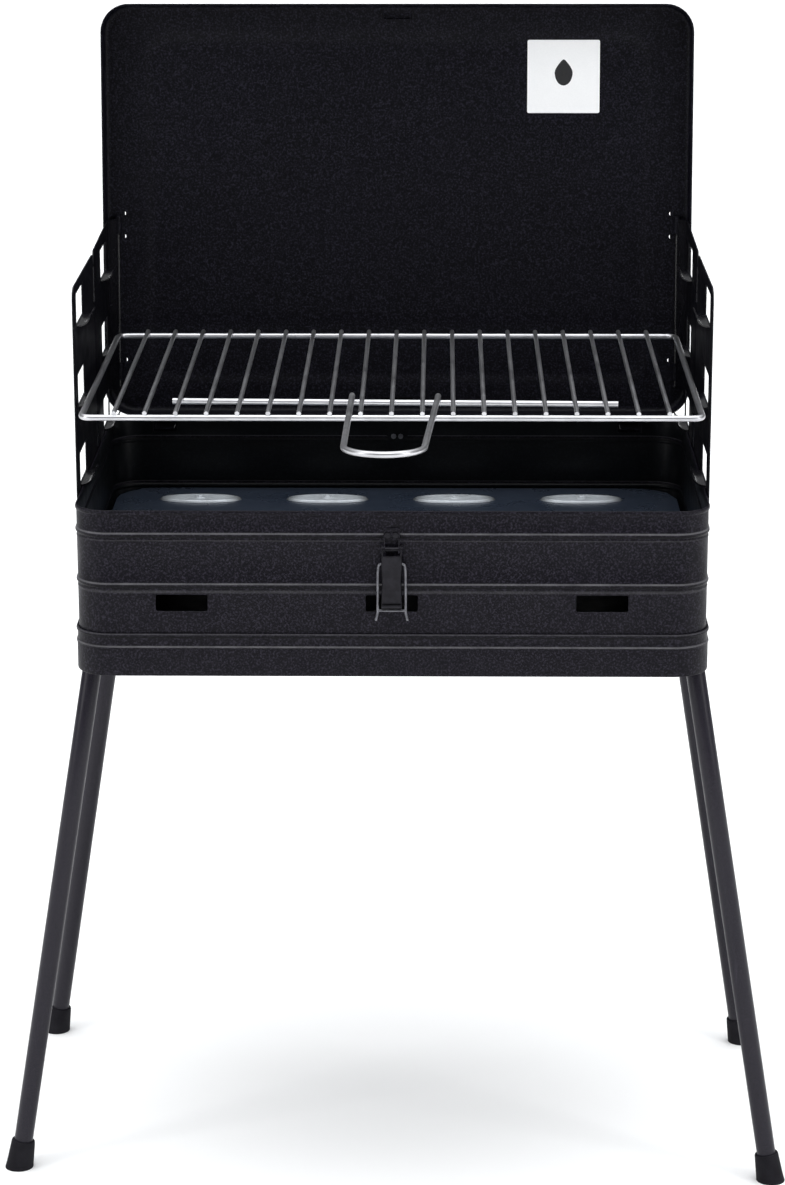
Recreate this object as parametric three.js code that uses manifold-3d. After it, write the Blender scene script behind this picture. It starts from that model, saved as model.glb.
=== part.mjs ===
// Folding camp grill, a suitcase charcoal grill on four folding legs.
// Millimetres, +Z up, front towards -Y. The pieces are drawn about the middle of the case,
// and the whole is then set forward so that the origin is under the middle of its footprint.

import * as THREE from 'three';
import { mergeVertices } from 'three/addons/utils/BufferGeometryUtils.js';
import Module from 'manifold-3d';

const wasm = await Module();
wasm.setup();

// ---- driving dimensions -------------------------------------------------

const GAP = 0.3; // clearance kept between touching pieces
const SHEET = 0.8; // sheet steel of case and lid
const FOOTPRINT_SHIFT_Y = 51; // from the middle of the case to the origin

// case
const CASE_HALF_X = 205;
const CASE_HALF_Y = 141.5;
const CASE_CORNER = 22;
const CASE_FLOOR_Z = 385;
const RIM_Z = 472.8;
const HEM_HEIGHT = 3;
const HEM_PROUD = 0.7;
const BEAD_CENTRES = [454, 421.5];
const BEAD_HEIGHT = 8;
const BEAD_PROUD = 1.4;
const BEAD_BREAK = 7; // half width of the break in the upper bead at each latch
const VENT_XS = [-136, 0, 136];
const VENT = { width: 33.5, height: 11, z: 411, corner: 1.5 };
const HOOK_X = 167.5;
const HOOK_SLOT = { width: 17, low: 460, high: 469.2 };

// base pan, with a skirt that the folded legs lie in
const SKIRT_HALF_X = CASE_HALF_X + GAP + SHEET;
const SKIRT_HALF_Y = CASE_HALF_Y + GAP + SHEET;
const SKIRT_CORNER = CASE_CORNER + GAP + SHEET;
const SKIRT_BOTTOM = 362;
const SKIRT_TOP = 390.7;
const SKIRT_BEAD_LOW = 381.7;
const SKIRT_BEAD_PROUD = 0.6;

// charcoal tray
const TRAY = { halfX: 200, halfY: 136, corner: 30, top: 419.3, sheet: 1 };
const DISC = { halfX: 30, halfY: 10.5, topHalfX: 28, rise: 2, hole: 2 };
const DISC_GRID = { pitchX: 90.5, pitchY: 66.7, shiftX: -4 };
const DISC_COLUMNS = 4;
const DISC_ROWS = 4;

// legs
const LEG_RADIUS = 6.35;
const LEG_WALL = 1;
const LEG_PIVOT_X = 196.6;
const LEG_PIVOT_Y = 98;
const LEG_STAGGER = 8; // left legs sit this far back and right legs this far forward
const LEG_PIVOT_Z = 375;
const FOOT_OUT_X = 60.4; // how far a foot stands outside its pivot
const FOOT_OUT_Y = 22;
const LEG_TAIL = 3.2; // tube past the pivot
const LEG_PIN_RADIUS = 2;
const CAP = { length: 20, topRadius: 7.9, footRadius: 9.25, floor: 4.5 };
const EAR = { sheet: 1.5, halfWidth: 6.6, drop: 5.5 };

// latches
const LATCH_PIN_Z = 448.8;
const LATCH_PIN_OUT = 5.5; // pin in front of the case wall
const LATCH_PIN_RADIUS = 1.3;
const LATCH_BASE = { halfX: 5.2, low: 446, high: 461.5, sheet: 1 };
const LEVER = { halfX: 6.4, sheet: 1, low: 409.5, lip: 7.5, lipOut: 3 };
const BAIL_Z = 439;
const BAIL = { wire: 1, halfTop: 8.2, halfLow: 10, low: 407.8, foot: 401 };
const LATCH_RIVET = { x: 2.5, z: 457, radius: 1.1, head: 1.9, headHeight: 0.9 };

// lid, standing at the back and leaning a little
const LID_LEAN = THREE.MathUtils.degToRad(6.03);
const LID_HALF_X = 209.3;
const LID_LENGTH = 291.4;
const LID_DEPTH = 22;
const LID_CORNER = 20;
const LID_BOTTOM = { y: 150.75, z: 472.4 }; // inner face of the lid's plate at its lower edge
const PANEL_BOSS = { halfX: 178, low: 24, high: 269, corner: 17, rise: 2 };
const LOOP_X = 200.5;
const LOOP_HEIGHTS = [29.9, 135.1];
const LOOP = { length: 13, inner: 1.9, outer: 2.9, out: 2.1, window: 2.5, windowEnd: 3 };
const ROLLED_EDGE = 1.5; // radius of the panel edge held by the loops
const CATCH = { width: 23, height: 4.4, edge: 8.6 };
const LABEL = { left: 92.6, low: 214.6, size: 51.5, thickness: 0.3 };
const LID_HOOK = { width: 14, plateWidth: 19, plateLow: 459.6, sheet: 1, reach: 17.5, z: 463.6 };

// side panels, each a rear leaf on the lid and a front leaf
const LEAF_X = 206.15; // inner face
const LEAF_SHEET = 1;
const LEAF_BOTTOM = 458.4;
const LEAF_TOP = 608;
const LEAF_TOP_BACK = 612.5;
const LEAF_FRONT_Y = -95;
const LEAF_HINGE_Y = 38;
const LEAF_HINGE_X = LEAF_X + LEAF_SHEET + 0.6;
const KNUCKLE = { outer: 2.5, inner: 1.45, pin: 1.15, length: 11 };
const KNUCKLE_ZS = [485.5, 587];
const TAB_LEVELS = [473.2, 526, 579.5];
const TAB = { reach: 8.2, up: 5.7, sheet: 1, length: 41 };
const SLOT_HEIGHT = 22;
const FRONT_SLOT_Y = -56;
const REAR_SLOT_Y = 108;

// grate and its lifting handle
const GRATE_Z = 534;
const GRATE_HALF_X = 198.1;
const GRATE_FRONT_Y = -143;
const GRATE_BACK_Y = 123;
const GRATE_CORNER = 8;
const FRAME_WIRE = 2;
const CROSS_WIRE = 1.5;
const CROSS_PITCH = 19.66;
const CROSS_COUNT = 19;
const HANDLE_WIRE = 2;
const HANDLE = { barHalf: 145, barY: -93, legHalf: 28, loopY: -284, loopRise: 6.6 };
const HANDLE_SKEW = THREE.MathUtils.degToRad(-1.5);

// ---- materials ----------------------------------------------------------

function finish(color, roughness, metalness) {
  return new THREE.MeshStandardMaterial({ color, roughness, metalness });
}

const blackPaint = () => finish(0x262428, 0.6, 0.3);
const lidPaint = () => finish(0x24262b, 0.55, 0.3);
const legPaint = () => finish(0x45424a, 0.5, 0.4);
const rubber = () => finish(0x2c2a30, 0.9, 0);
const chrome = () => finish(0xc9c9cc, 0.2, 1);
const zinc = () => finish(0x8f8f94, 0.4, 0.9);
const enamel = () => finish(0x3c4450, 0.3, 0.5);
const label = () => finish(0xf0f0f2, 0.6, 0);

// ---- shape helpers ------------------------------------------------------

function toSolid(geometry) {
  const bare = geometry.clone();
  bare.deleteAttribute('normal');
  bare.deleteAttribute('uv');
  const merged = mergeVertices(bare, 1e-4);
  const vertProperties = new Float32Array(merged.attributes.position.array);
  const triVerts = new Uint32Array(merged.index.array);
  return new wasm.Manifold(new wasm.Mesh({ numProp: 3, vertProperties, triVerts }));
}

function toGeometry(solid) {
  const mesh = solid.getMesh();
  const geometry = new THREE.BufferGeometry();
  geometry.setAttribute('position', new THREE.BufferAttribute(mesh.vertProperties, 3));
  geometry.setIndex(new THREE.BufferAttribute(mesh.triVerts, 1));
  geometry.computeVertexNormals();
  return geometry;
}

function join(parts) {
  return parts.reduce((whole, part) => whole.add(part));
}

function cut(solid, tools) {
  return tools.reduce((rest, tool) => rest.subtract(tool), solid);
}

// A box given by its low and high corners.
function block(low, high) {
  const size = high.map((value, axis) => value - low[axis]);
  const geometry = new THREE.BoxGeometry(...size);
  geometry.translate(...high.map((value, axis) => (value + low[axis]) / 2));
  return toSolid(geometry);
}

// A round bar between two points.
function bar(start, end, radius, sides = 16, endRadius = radius) {
  const from = new THREE.Vector3(...start);
  const to = new THREE.Vector3(...end);
  const along = to.clone().sub(from);
  const geometry = new THREE.CylinderGeometry(endRadius, radius, along.length(), sides);
  geometry.translate(0, along.length() / 2, 0);
  const turn = new THREE.Quaternion().setFromUnitVectors(new THREE.Vector3(0, 1, 0), along.normalize());
  geometry.applyQuaternion(turn);
  geometry.translate(from.x, from.y, from.z);
  return toSolid(geometry);
}

function roundedRect(halfX, halfY, corner, middleX = 0, middleY = 0) {
  const shape = new THREE.Shape();
  const right = middleX + halfX;
  const left = middleX - halfX;
  const top = middleY + halfY;
  const bottom = middleY - halfY;
  shape.moveTo(left + corner, bottom);
  shape.lineTo(right - corner, bottom);
  shape.absarc(right - corner, bottom + corner, corner, -Math.PI / 2, 0);
  shape.lineTo(right, top - corner);
  shape.absarc(right - corner, top - corner, corner, 0, Math.PI / 2);
  shape.lineTo(left + corner, top);
  shape.absarc(left + corner, top - corner, corner, Math.PI / 2, Math.PI);
  shape.lineTo(left, bottom + corner);
  shape.absarc(left + corner, bottom + corner, corner, Math.PI, 1.5 * Math.PI);
  return shape;
}

function prism(shape, low, high, curveSegments = 4) {
  const geometry = new THREE.ExtrudeGeometry(shape, {
    depth: high - low,
    bevelEnabled: false,
    curveSegments,
  });
  geometry.translate(0, 0, low);
  return toSolid(geometry);
}

// A wall that follows a rounded rectangle, from an outer to an inner outset.
function ring(halfX, halfY, corner, outer, inner, low, high) {
  const outside = prism(roundedRect(halfX + outer, halfY + outer, corner + outer), low, high);
  const inside = prism(roundedRect(halfX + inner, halfY + inner, corner + inner), low - 1, high + 1);
  return outside.subtract(inside);
}

// Turns a solid drawn in the plane X-Y and thick along Z into one in Y-Z, thick along X.
const SIDEWAYS = new THREE.Matrix4().makeBasis(
  new THREE.Vector3(0, 1, 0),
  new THREE.Vector3(0, 0, 1),
  new THREE.Vector3(1, 0, 0),
);

function moved(solid, matrix) {
  return solid.transform(matrix.toArray());
}

// A path through a list of points, stepped from one point to the next.
class Polyline extends THREE.Curve {
  constructor(points) {
    super();
    this.points = points;
  }

  getPoint(t, target = new THREE.Vector3()) {
    const last = this.points.length - 1;
    const place = Math.min(Math.max(t, 0), 1) * last;
    const index = Math.min(Math.floor(place), last - 1);
    return target.lerpVectors(this.points[index], this.points[index + 1], place - index);
  }

  getUtoTmapping(u) {
    return u;
  }
}

function wireThrough(points, radius, sides = 8) {
  const section = new THREE.Shape();
  for (let i = 0; i < sides; i += 1) {
    const angle = (2 * Math.PI * i) / sides;
    const corner = new THREE.Vector2(radius * Math.cos(angle), radius * Math.sin(angle));
    if (i === 0) {
      section.moveTo(corner.x, corner.y);
    } else {
      section.lineTo(corner.x, corner.y);
    }
  }
  const extrudePath = new Polyline(points);
  return toSolid(new THREE.ExtrudeGeometry(section, { extrudePath, steps: points.length - 1 }));
}

// A wire bent along straight runs with rounded corners.
function bentWire(places, radius, bend, sides = 8, bendSteps = 4) {
  const corners = places.map((place) => new THREE.Vector3(...place));
  const points = [corners[0]];
  for (let i = 1; i < corners.length - 1; i += 1) {
    const here = corners[i];
    const before = here.clone().lerp(corners[i - 1], bend / here.distanceTo(corners[i - 1]));
    const after = here.clone().lerp(corners[i + 1], bend / here.distanceTo(corners[i + 1]));
    points.push(...new THREE.QuadraticBezierCurve3(before, here, after).getPoints(bendSteps));
  }
  points.push(corners[corners.length - 1]);
  return wireThrough(points, radius, sides);
}

const grill = new THREE.Group();

function piece(name, solid, material, parent = grill) {
  const mesh = new THREE.Mesh(toGeometry(solid), material);
  mesh.name = name;
  parent.add(mesh);
  return mesh;
}

// ---- case, base pan and charcoal tray -----------------------------------

function rivetHoles(side) {
  return [-1, 1].map((hand) => {
    const x = hand * LATCH_RIVET.x;
    const wallY = side * CASE_HALF_Y;
    return bar([x, wallY - 6, LATCH_RIVET.z], [x, wallY + 6, LATCH_RIVET.z], LATCH_RIVET.radius + GAP, 8);
  });
}

function caseShell() {
  const wall = (outer, inner, low, high) =>
    ring(CASE_HALF_X, CASE_HALF_Y, CASE_CORNER, outer, inner, low, high);
  const parts = [
    wall(0, -SHEET, CASE_FLOOR_Z + GAP, RIM_Z - 0.5),
    wall(HEM_PROUD, -SHEET, RIM_Z - HEM_HEIGHT, RIM_Z),
  ];
  for (const z of BEAD_CENTRES) {
    parts.push(wall(BEAD_PROUD, -SHEET / 2, z - BEAD_HEIGHT / 2, z + BEAD_HEIGHT / 2));
  }
  const tools = [];
  for (const side of [-1, 1]) {
    const face = side * CASE_HALF_Y;
    const outer = face + side * BEAD_PROUD * 2;
    const yRange = [Math.min(face, outer), Math.max(face, outer)];
    const beadLow = BEAD_CENTRES[0] - BEAD_HEIGHT;
    const beadHigh = BEAD_CENTRES[0] + BEAD_HEIGHT;
    tools.push(block([-BEAD_BREAK, yRange[0], beadLow], [BEAD_BREAK, yRange[1], beadHigh]));
    for (const x of VENT_XS) {
      const shape = roundedRect(VENT.width / 2, VENT.height / 2, VENT.corner, x, VENT.z);
      const slot = prism(shape, -5, 5, 3).rotate([90, 0, 0]).translate([0, face, 0]);
      tools.push(slot);
    }
    tools.push(...rivetHoles(side));
  }
  for (const hand of [-1, 1]) {
    const x = hand * HOOK_X;
    const half = HOOK_SLOT.width / 2;
    tools.push(block(
      [x - half, CASE_HALF_Y - 5, HOOK_SLOT.low],
      [x + half, CASE_HALF_Y + 5, HOOK_SLOT.high],
    ));
  }
  return cut(join(parts), tools);
}

function legRivetSpots(leg) {
  return [-1, 1].map((end) => [leg.pivot.x - leg.hand * 12.5, leg.pivot.y + end * 4.6]);
}

function basePan(legs) {
  const wall = (outer, inner, low, high) =>
    ring(SKIRT_HALF_X, SKIRT_HALF_Y, SKIRT_CORNER, outer, inner, low, high);
  const inset = SHEET / 2;
  const floorShape = roundedRect(SKIRT_HALF_X - inset, SKIRT_HALF_Y - inset, SKIRT_CORNER - inset);
  const parts = [
    wall(0, -SHEET, SKIRT_BOTTOM, SKIRT_TOP),
    wall(SKIRT_BEAD_PROUD, -SHEET, SKIRT_BEAD_LOW, SKIRT_TOP),
    prism(floorShape, CASE_FLOOR_Z - 1, CASE_FLOOR_Z),
  ];
  const holes = legs.flatMap((leg) =>
    legRivetSpots(leg).map(([x, y]) => bar([x, y, CASE_FLOOR_Z - 3], [x, y, CASE_FLOOR_Z + 3], 1.6, 8)),
  );
  return cut(join(parts), holes);
}

function charcoalTray() {
  const low = TRAY.top - TRAY.sheet;
  const parts = [prism(roundedRect(TRAY.halfX, TRAY.halfY, TRAY.corner), low, TRAY.top)];
  const holes = [];
  for (let column = 0; column < DISC_COLUMNS; column += 1) {
    for (let row = 0; row < DISC_ROWS; row += 1) {
      const x = (column - (DISC_COLUMNS - 1) / 2) * DISC_GRID.pitchX + DISC_GRID.shiftX;
      const y = (row - (DISC_ROWS - 1) / 2) * DISC_GRID.pitchY;
      const round = bar([0, 0, low + 0.2], [0, 0, TRAY.top + DISC.rise], DISC.halfX, 16, DISC.topHalfX);
      parts.push(round.scale([1, DISC.halfY / DISC.halfX, 1]).translate([x, y, 0]));
      holes.push(bar([x, y, low - 2], [x, y, TRAY.top + DISC.rise + 2], DISC.hole, 8));
    }
  }
  for (const hand of [-1, 1]) {
    const outside = hand * TRAY.halfX;
    const inside = outside - hand * TRAY.sheet;
    const half = TRAY.halfY - TRAY.corner;
    parts.push(block(
      [Math.min(outside, inside), -half, CASE_FLOOR_Z + GAP],
      [Math.max(outside, inside), half, TRAY.top - 0.2],
    ));
  }
  return cut(join(parts), holes);
}

// ---- legs ---------------------------------------------------------------

function legLayout() {
  const legs = [];
  for (const [side, end] of [['front', -1], ['rear', 1]]) {
    for (const [word, hand] of [['left', -1], ['right', 1]]) {
      const pivotY = end * LEG_PIVOT_Y - hand * LEG_STAGGER;
      const pivot = new THREE.Vector3(hand * LEG_PIVOT_X, pivotY, LEG_PIVOT_Z);
      const foot = pivot.clone().add(new THREE.Vector3(hand * FOOT_OUT_X, end * FOOT_OUT_Y, -LEG_PIVOT_Z));
      legs.push({ name: `${side}_${word}`, hand, end, pivot, foot });
    }
  }
  return legs;
}

// A group at the pivot whose -Z runs down the leg and whose Y is the hinge pin.
function legGroup(leg) {
  const down = leg.foot.clone().sub(leg.pivot).normalize();
  const folded = new THREE.Vector3(-leg.hand, 0, 0);
  const pin = down.clone().cross(folded).normalize();
  if (pin.y < 0) {
    pin.negate();
  }
  const up = down.clone().negate();
  const across = pin.clone().cross(up);
  const group = new THREE.Group();
  group.matrix.makeBasis(across, pin, up).setPosition(leg.pivot);
  group.matrix.decompose(group.position, group.quaternion, group.scale);
  grill.add(group);
  return group;
}

function legTube(length) {
  const end = -(length - CAP.floor - GAP);
  const tube = bar([0, 0, end], [0, 0, LEG_TAIL], LEG_RADIUS, 20);
  const bore = bar([0, 0, end - 1], [0, 0, LEG_TAIL + 1], LEG_RADIUS - LEG_WALL, 16);
  const pinHole = bar([0, -10, 0], [0, 10, 0], LEG_PIN_RADIUS + GAP, 8);
  return cut(tube, [bore, pinHole]);
}

function footCap(length, group) {
  const extra = 6;
  const slope = (CAP.footRadius - CAP.topRadius) / CAP.length;
  const body = bar(
    [0, 0, -(length + extra)],
    [0, 0, -(length - CAP.length)],
    CAP.footRadius + slope * extra,
    20,
    CAP.topRadius,
  );
  const socket = bar([0, 0, -(length - CAP.floor)], [0, 0, -(length - CAP.length - 2)], LEG_RADIUS + GAP, 16);
  group.updateMatrixWorld(true);
  const toLocal = group.matrixWorld.clone().invert();
  const span = 600;
  const ground = moved(block([-span, -span, -60], [span, span, 0]), toLocal);
  return cut(body, [socket, ground]);
}

// The bracket is level with the floor of the pan, and its two ears stand square to the pin.
function legBracket(leg) {
  const tilt = Math.atan2(FOOT_OUT_Y, LEG_PIVOT_Z) * leg.end;
  const plateTop = CASE_FLOOR_Z - 1 - GAP - LEG_PIVOT_Z;
  const inner = LEG_RADIUS + 0.35;
  const outer = inner + EAR.sheet;
  const parts = [];
  for (const side of [-1, 1]) {
    const low = Math.min(side * inner, side * outer);
    const high = Math.max(side * inner, side * outer);
    const disc = bar([0, low, 0], [0, high, 0], EAR.drop, 12);
    const web = block([-EAR.halfWidth, low, 0], [EAR.halfWidth, high, plateTop + 3]);
    const ear = join([disc, web]);
    parts.push(cut(ear, [bar([0, -12, 0], [0, 12, 0], LEG_PIN_RADIUS + 0.1, 12)]));
  }
  const ears = join(parts).rotate([THREE.MathUtils.radToDeg(tilt), 0, 0]);
  const reach = 17;
  const inward = -leg.hand;
  const plate = block(
    [Math.min(-inward * EAR.halfWidth, inward * reach), -outer, plateTop - 1.2],
    [Math.max(-inward * EAR.halfWidth, inward * reach), outer, plateTop],
  );
  const trim = block([-30, -30, plateTop], [30, 30, plateTop + 20]);
  const tubeRoom = bar([-9, 0, 0], [9, 0, 0], LEG_RADIUS + 0.35, 16);
  const holes = legRivetSpots(leg).map(([x, y]) => {
    const dx = x - leg.pivot.x;
    const dy = y - leg.pivot.y;
    return bar([dx, dy, plateTop - 3], [dx, dy, plateTop + 3], 1.6, 8);
  });
  return cut(join([ears, plate]), [trim, tubeRoom, ...holes]);
}

function legRivet() {
  const top = CASE_FLOOR_Z + GAP + 0.9;
  const low = CASE_FLOOR_Z - 1 - GAP - 1.2 - GAP - 0.9;
  return join([
    bar([0, 0, low], [0, 0, top], 1.3, 8),
    bar([0, 0, CASE_FLOOR_Z + GAP], [0, 0, top], 2.6, 8),
    bar([0, 0, low], [0, 0, low + 0.9], 2.6, 8),
  ]);
}

// ---- latches ------------------------------------------------------------
// Drawn for the front wall; the rear latch is the same, turned half a turn.

const PIN_Y = -(CASE_HALF_Y + LATCH_PIN_OUT);

function latchBase() {
  const face = -(CASE_HALF_Y + GAP);
  const { halfX, low, high, sheet } = LATCH_BASE;
  const parts = [block([-halfX, face - sheet, low], [halfX, face, high])];
  for (const hand of [-1, 1]) {
    const outside = hand * halfX;
    const inside = hand * (halfX - 1);
    const xs = [Math.min(outside, inside), Math.max(outside, inside)];
    const ear = block([xs[0], PIN_Y, low - 1], [xs[1], face - 0.2, low + 6]);
    const tip = bar([xs[0], PIN_Y, LATCH_PIN_Z], [xs[1], PIN_Y, LATCH_PIN_Z], 3, 12);
    parts.push(ear, tip);
  }
  const pinHole = bar([-9, PIN_Y, LATCH_PIN_Z], [9, PIN_Y, LATCH_PIN_Z], LATCH_PIN_RADIUS + GAP, 12);
  return cut(join(parts), [pinHole, ...rivetHoles(-1)]);
}

function latchPin() {
  const half = LEVER.halfX + 0.5;
  return bar([-half, PIN_Y, LATCH_PIN_Z], [half, PIN_Y, LATCH_PIN_Z], LATCH_PIN_RADIUS, 12);
}

function latchRivet(hand) {
  const { x, z, radius, head, headHeight } = LATCH_RIVET;
  const inside = -(CASE_HALF_Y - SHEET - GAP);
  const outside = -(CASE_HALF_Y + GAP + LATCH_BASE.sheet + GAP);
  return join([
    bar([hand * x, outside - headHeight, z], [hand * x, inside + headHeight, z], radius, 8),
    bar([hand * x, outside - headHeight, z], [hand * x, outside, z], head, 8),
    bar([hand * x, inside, z], [hand * x, inside + headHeight, z], head, 8),
  ]);
}

function latchLever() {
  const { halfX, sheet, low, lip, lipOut } = LEVER;
  const front = PIN_Y - 2.4;
  const parts = [block([-halfX, front, low], [halfX, front + sheet, LATCH_PIN_Z - 4.2])];
  for (const hand of [-1, 1]) {
    const xs = [Math.min(hand * halfX, hand * (halfX - 0.8)), Math.max(hand * halfX, hand * (halfX - 0.8))];
    parts.push(block([xs[0], front + 0.2, BAIL_Z - 4], [xs[1], PIN_Y + 1.5, LATCH_PIN_Z]));
    parts.push(bar([xs[0], PIN_Y, LATCH_PIN_Z], [xs[1], PIN_Y, LATCH_PIN_Z], 2.4, 12));
  }
  parts.push(block([-halfX, front - lipOut, low], [halfX, front + sheet, low + 1]));
  parts.push(block([-halfX, front - lipOut, low], [halfX, front - lipOut + sheet, low + lip - 3]));
  const holes = [
    bar([-9, PIN_Y, LATCH_PIN_Z], [9, PIN_Y, LATCH_PIN_Z], LATCH_PIN_RADIUS + GAP, 12),
    bar([-9, PIN_Y, BAIL_Z], [9, PIN_Y, BAIL_Z], BAIL.wire + GAP, 12),
  ];
  return cut(join(parts), holes);
}

function latchBail() {
  const { wire, halfTop, halfLow, low, foot } = BAIL;
  const parts = [];
  for (const hand of [-1, 1]) {
    parts.push(bentWire([
      [hand * (LEVER.halfX - 1.4), PIN_Y, BAIL_Z],
      [hand * halfTop, PIN_Y, BAIL_Z],
      [hand * halfLow, PIN_Y, low],
      [hand * (halfLow + 0.6), PIN_Y, foot],
    ], wire, 0.9, 6, 2));
  }
  parts.push(bar([-halfLow, PIN_Y, low], [halfLow, PIN_Y, low], wire, 6));
  return join(parts);
}

function latch(side) {
  const group = new THREE.Group();
  if (side === 'rear') {
    group.rotation.z = Math.PI;
  }
  grill.add(group);
  piece(`${side}_latch_base`, latchBase(), zinc(), group);
  piece(`${side}_latch_pin`, latchPin(), zinc(), group);
  piece(`${side}_latch_rivet_1`, latchRivet(-1), zinc(), group);
  piece(`${side}_latch_rivet_2`, latchRivet(1), zinc(), group);
  piece(`${side}_latch_lever`, latchLever(), zinc(), group);
  piece(`${side}_latch_bail`, latchBail(), zinc(), group);
}

// ---- lid ----------------------------------------------------------------
// Drawn flat: X across, Y up the standing lid, Z forward out of its plate.

function hingeLoop(x, middle) {
  const low = middle - LOOP.length / 2;
  const high = middle + LOOP.length / 2;
  const crown = bar([x, low, LOOP.out], [x, high, LOOP.out], LOOP.outer, 14);
  const sides = block([x - LOOP.outer, low, -SHEET], [x + LOOP.outer, high, LOOP.out]);
  const round = bar([x, low - 1, LOOP.out], [x, high + 1, LOOP.out], LOOP.inner, 14);
  const straight = block([x - LOOP.inner, low - 1, -SHEET - 1], [x + LOOP.inner, high + 1, LOOP.out]);
  return cut(join([crown, sides]), [round, straight]);
}

function lidShell() {
  const middle = LID_LENGTH / 2;
  const at = (solid) => solid.translate([0, middle, 0]);
  const wall = (outer, inner, low, high) => at(ring(LID_HALF_X, middle, LID_CORNER, outer, inner, low, high));
  const bossMiddle = (PANEL_BOSS.low + PANEL_BOSS.high) / 2;
  const bossHalf = (PANEL_BOSS.high - PANEL_BOSS.low) / 2;
  const boss = (grow, low, high) => prism(
    roundedRect(PANEL_BOSS.halfX + grow, bossHalf + grow, PANEL_BOSS.corner + grow, 0, bossMiddle),
    low,
    high,
  );
  const plate = at(prism(roundedRect(LID_HALF_X, middle, LID_CORNER), -SHEET, 0));
  const hem = wall(0, -1.5, LID_DEPTH - 2.4, LID_DEPTH);
  let lid = join([plate, wall(0, -SHEET, -SHEET, LID_DEPTH), hem]);
  lid = lid.add(boss(0.8, -SHEET - PANEL_BOSS.rise, -SHEET + 0.1));
  lid = lid.subtract(boss(0, -PANEL_BOSS.rise, 1));
  const tools = [];
  const loops = [];
  for (const hand of [-1, 1]) {
    for (const height of LOOP_HEIGHTS) {
      const x = hand * LOOP_X;
      const half = LOOP.length / 2 + LOOP.windowEnd;
      loops.push(hingeLoop(x, height));
      tools.push(block([x - LOOP.window, height - half, -4], [x + LOOP.window, height + half, 0.4]));
    }
  }
  const catches = [CATCH.edge, LID_LENGTH - CATCH.edge];
  for (const y of catches) {
    tools.push(block(
      [-CATCH.width / 2, y - CATCH.height / 2, -4],
      [CATCH.width / 2, y + CATCH.height / 2, 2],
    ));
    loops.push(join([
      block([-CATCH.width / 2 + 2, y - 1.4, -3.4], [CATCH.width / 2 - 2, y + 1.4, -2.6]),
      block([-CATCH.width / 2 - 1, y - 1.4, -3.4], [-CATCH.width / 2 + 2.5, y + 1.4, -0.3]),
      block([CATCH.width / 2 - 2.5, y - 1.4, -3.4], [CATCH.width / 2 + 1, y + 1.4, -0.3]),
    ]));
  }
  return join([cut(lid, tools), ...loops]);
}

const lidGroup = new THREE.Group();
lidGroup.position.set(0, LID_BOTTOM.y, LID_BOTTOM.z);
lidGroup.rotation.x = Math.PI / 2 - LID_LEAN;
grill.add(lidGroup);
lidGroup.updateMatrixWorld(true);

// The two hooks at the lid's lower edge reach level through the slots of the rear wall.
function lidHooks() {
  const { width, plateWidth, plateLow, sheet, reach, z } = LID_HOOK;
  const back = LID_BOTTOM.y;
  const toLid = lidGroup.matrixWorld.clone().invert();
  return [-1, 1].map((hand) => {
    const x = hand * HOOK_X;
    const half = plateWidth / 2;
    const drop = block([x - half, back - 0.4, plateLow], [x + half, back - 0.4 + sheet, LID_BOTTOM.z + 1.5]);
    const tongue = block([x - width / 2, back - reach, z], [x + width / 2, back + 0.6, z + sheet]);
    return moved(join([drop, tongue]), toLid);
  });
}

function lidLabel() {
  const { left, low, size, thickness } = LABEL;
  const half = size / 2;
  const back = -PANEL_BOSS.rise + GAP;
  return prism(roundedRect(half, half, 2, left + half, low + half), back, back + thickness, 3);
}

// ---- side panels --------------------------------------------------------
// Drawn for the right side, in place; the left side is the mirror image.

function leafSlots(middle) {
  return TAB_LEVELS.map((level) => {
    const half = TAB.length / 2 + 1;
    return block(
      [LEAF_X - 3, middle - half, level + TAB.sheet],
      [LEAF_X + 3, middle + half, level + SLOT_HEIGHT],
    );
  });
}

// A shelf tab, curled inward and up from the foot of its slot.
function leafTabs(middle) {
  const steps = 5;
  const curl = (reach, foot, up) => Array.from({ length: steps + 1 }, (_, index) => {
    const turn = (Math.PI / 2) * (index / steps);
    return [LEAF_X - reach * Math.sin(turn), foot + up * (1 - Math.cos(turn))];
  });
  return TAB_LEVELS.map((level) => {
    const below = curl(TAB.reach, level, TAB.up);
    const above = curl(TAB.reach - TAB.sheet, level + TAB.sheet, TAB.up - TAB.sheet);
    const root = [[LEAF_X + 0.5, level + TAB.sheet], [LEAF_X + 0.5, level]];
    const outline = [...below, ...above.reverse(), ...root];
    const shape = new THREE.Shape(outline.map(([x, z]) => new THREE.Vector2(x, z)));
    const half = TAB.length / 2;
    return prism(shape, -half, half).rotate([90, 0, 0]).translate([0, middle, 0]);
  });
}

function knuckle(low, high) {
  return bar([LEAF_HINGE_X, LEAF_HINGE_Y, low], [LEAF_HINGE_X, LEAF_HINGE_Y, high], KNUCKLE.outer, 12);
}

const pinRoom = bar(
  [LEAF_HINGE_X, LEAF_HINGE_Y, LEAF_BOTTOM - 20],
  [LEAF_HINGE_X, LEAF_HINGE_Y, LEAF_TOP + 20],
  KNUCKLE.inner,
  12,
);

function knuckles(inner) {
  return KNUCKLE_ZS.flatMap((z) => {
    const half = KNUCKLE.length / 2;
    return inner
      ? [knuckle(z - half, z + half)]
      : [knuckle(z - half - GAP - 6, z - half - GAP), knuckle(z + half + GAP, z + half + GAP + 6)];
  });
}

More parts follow.
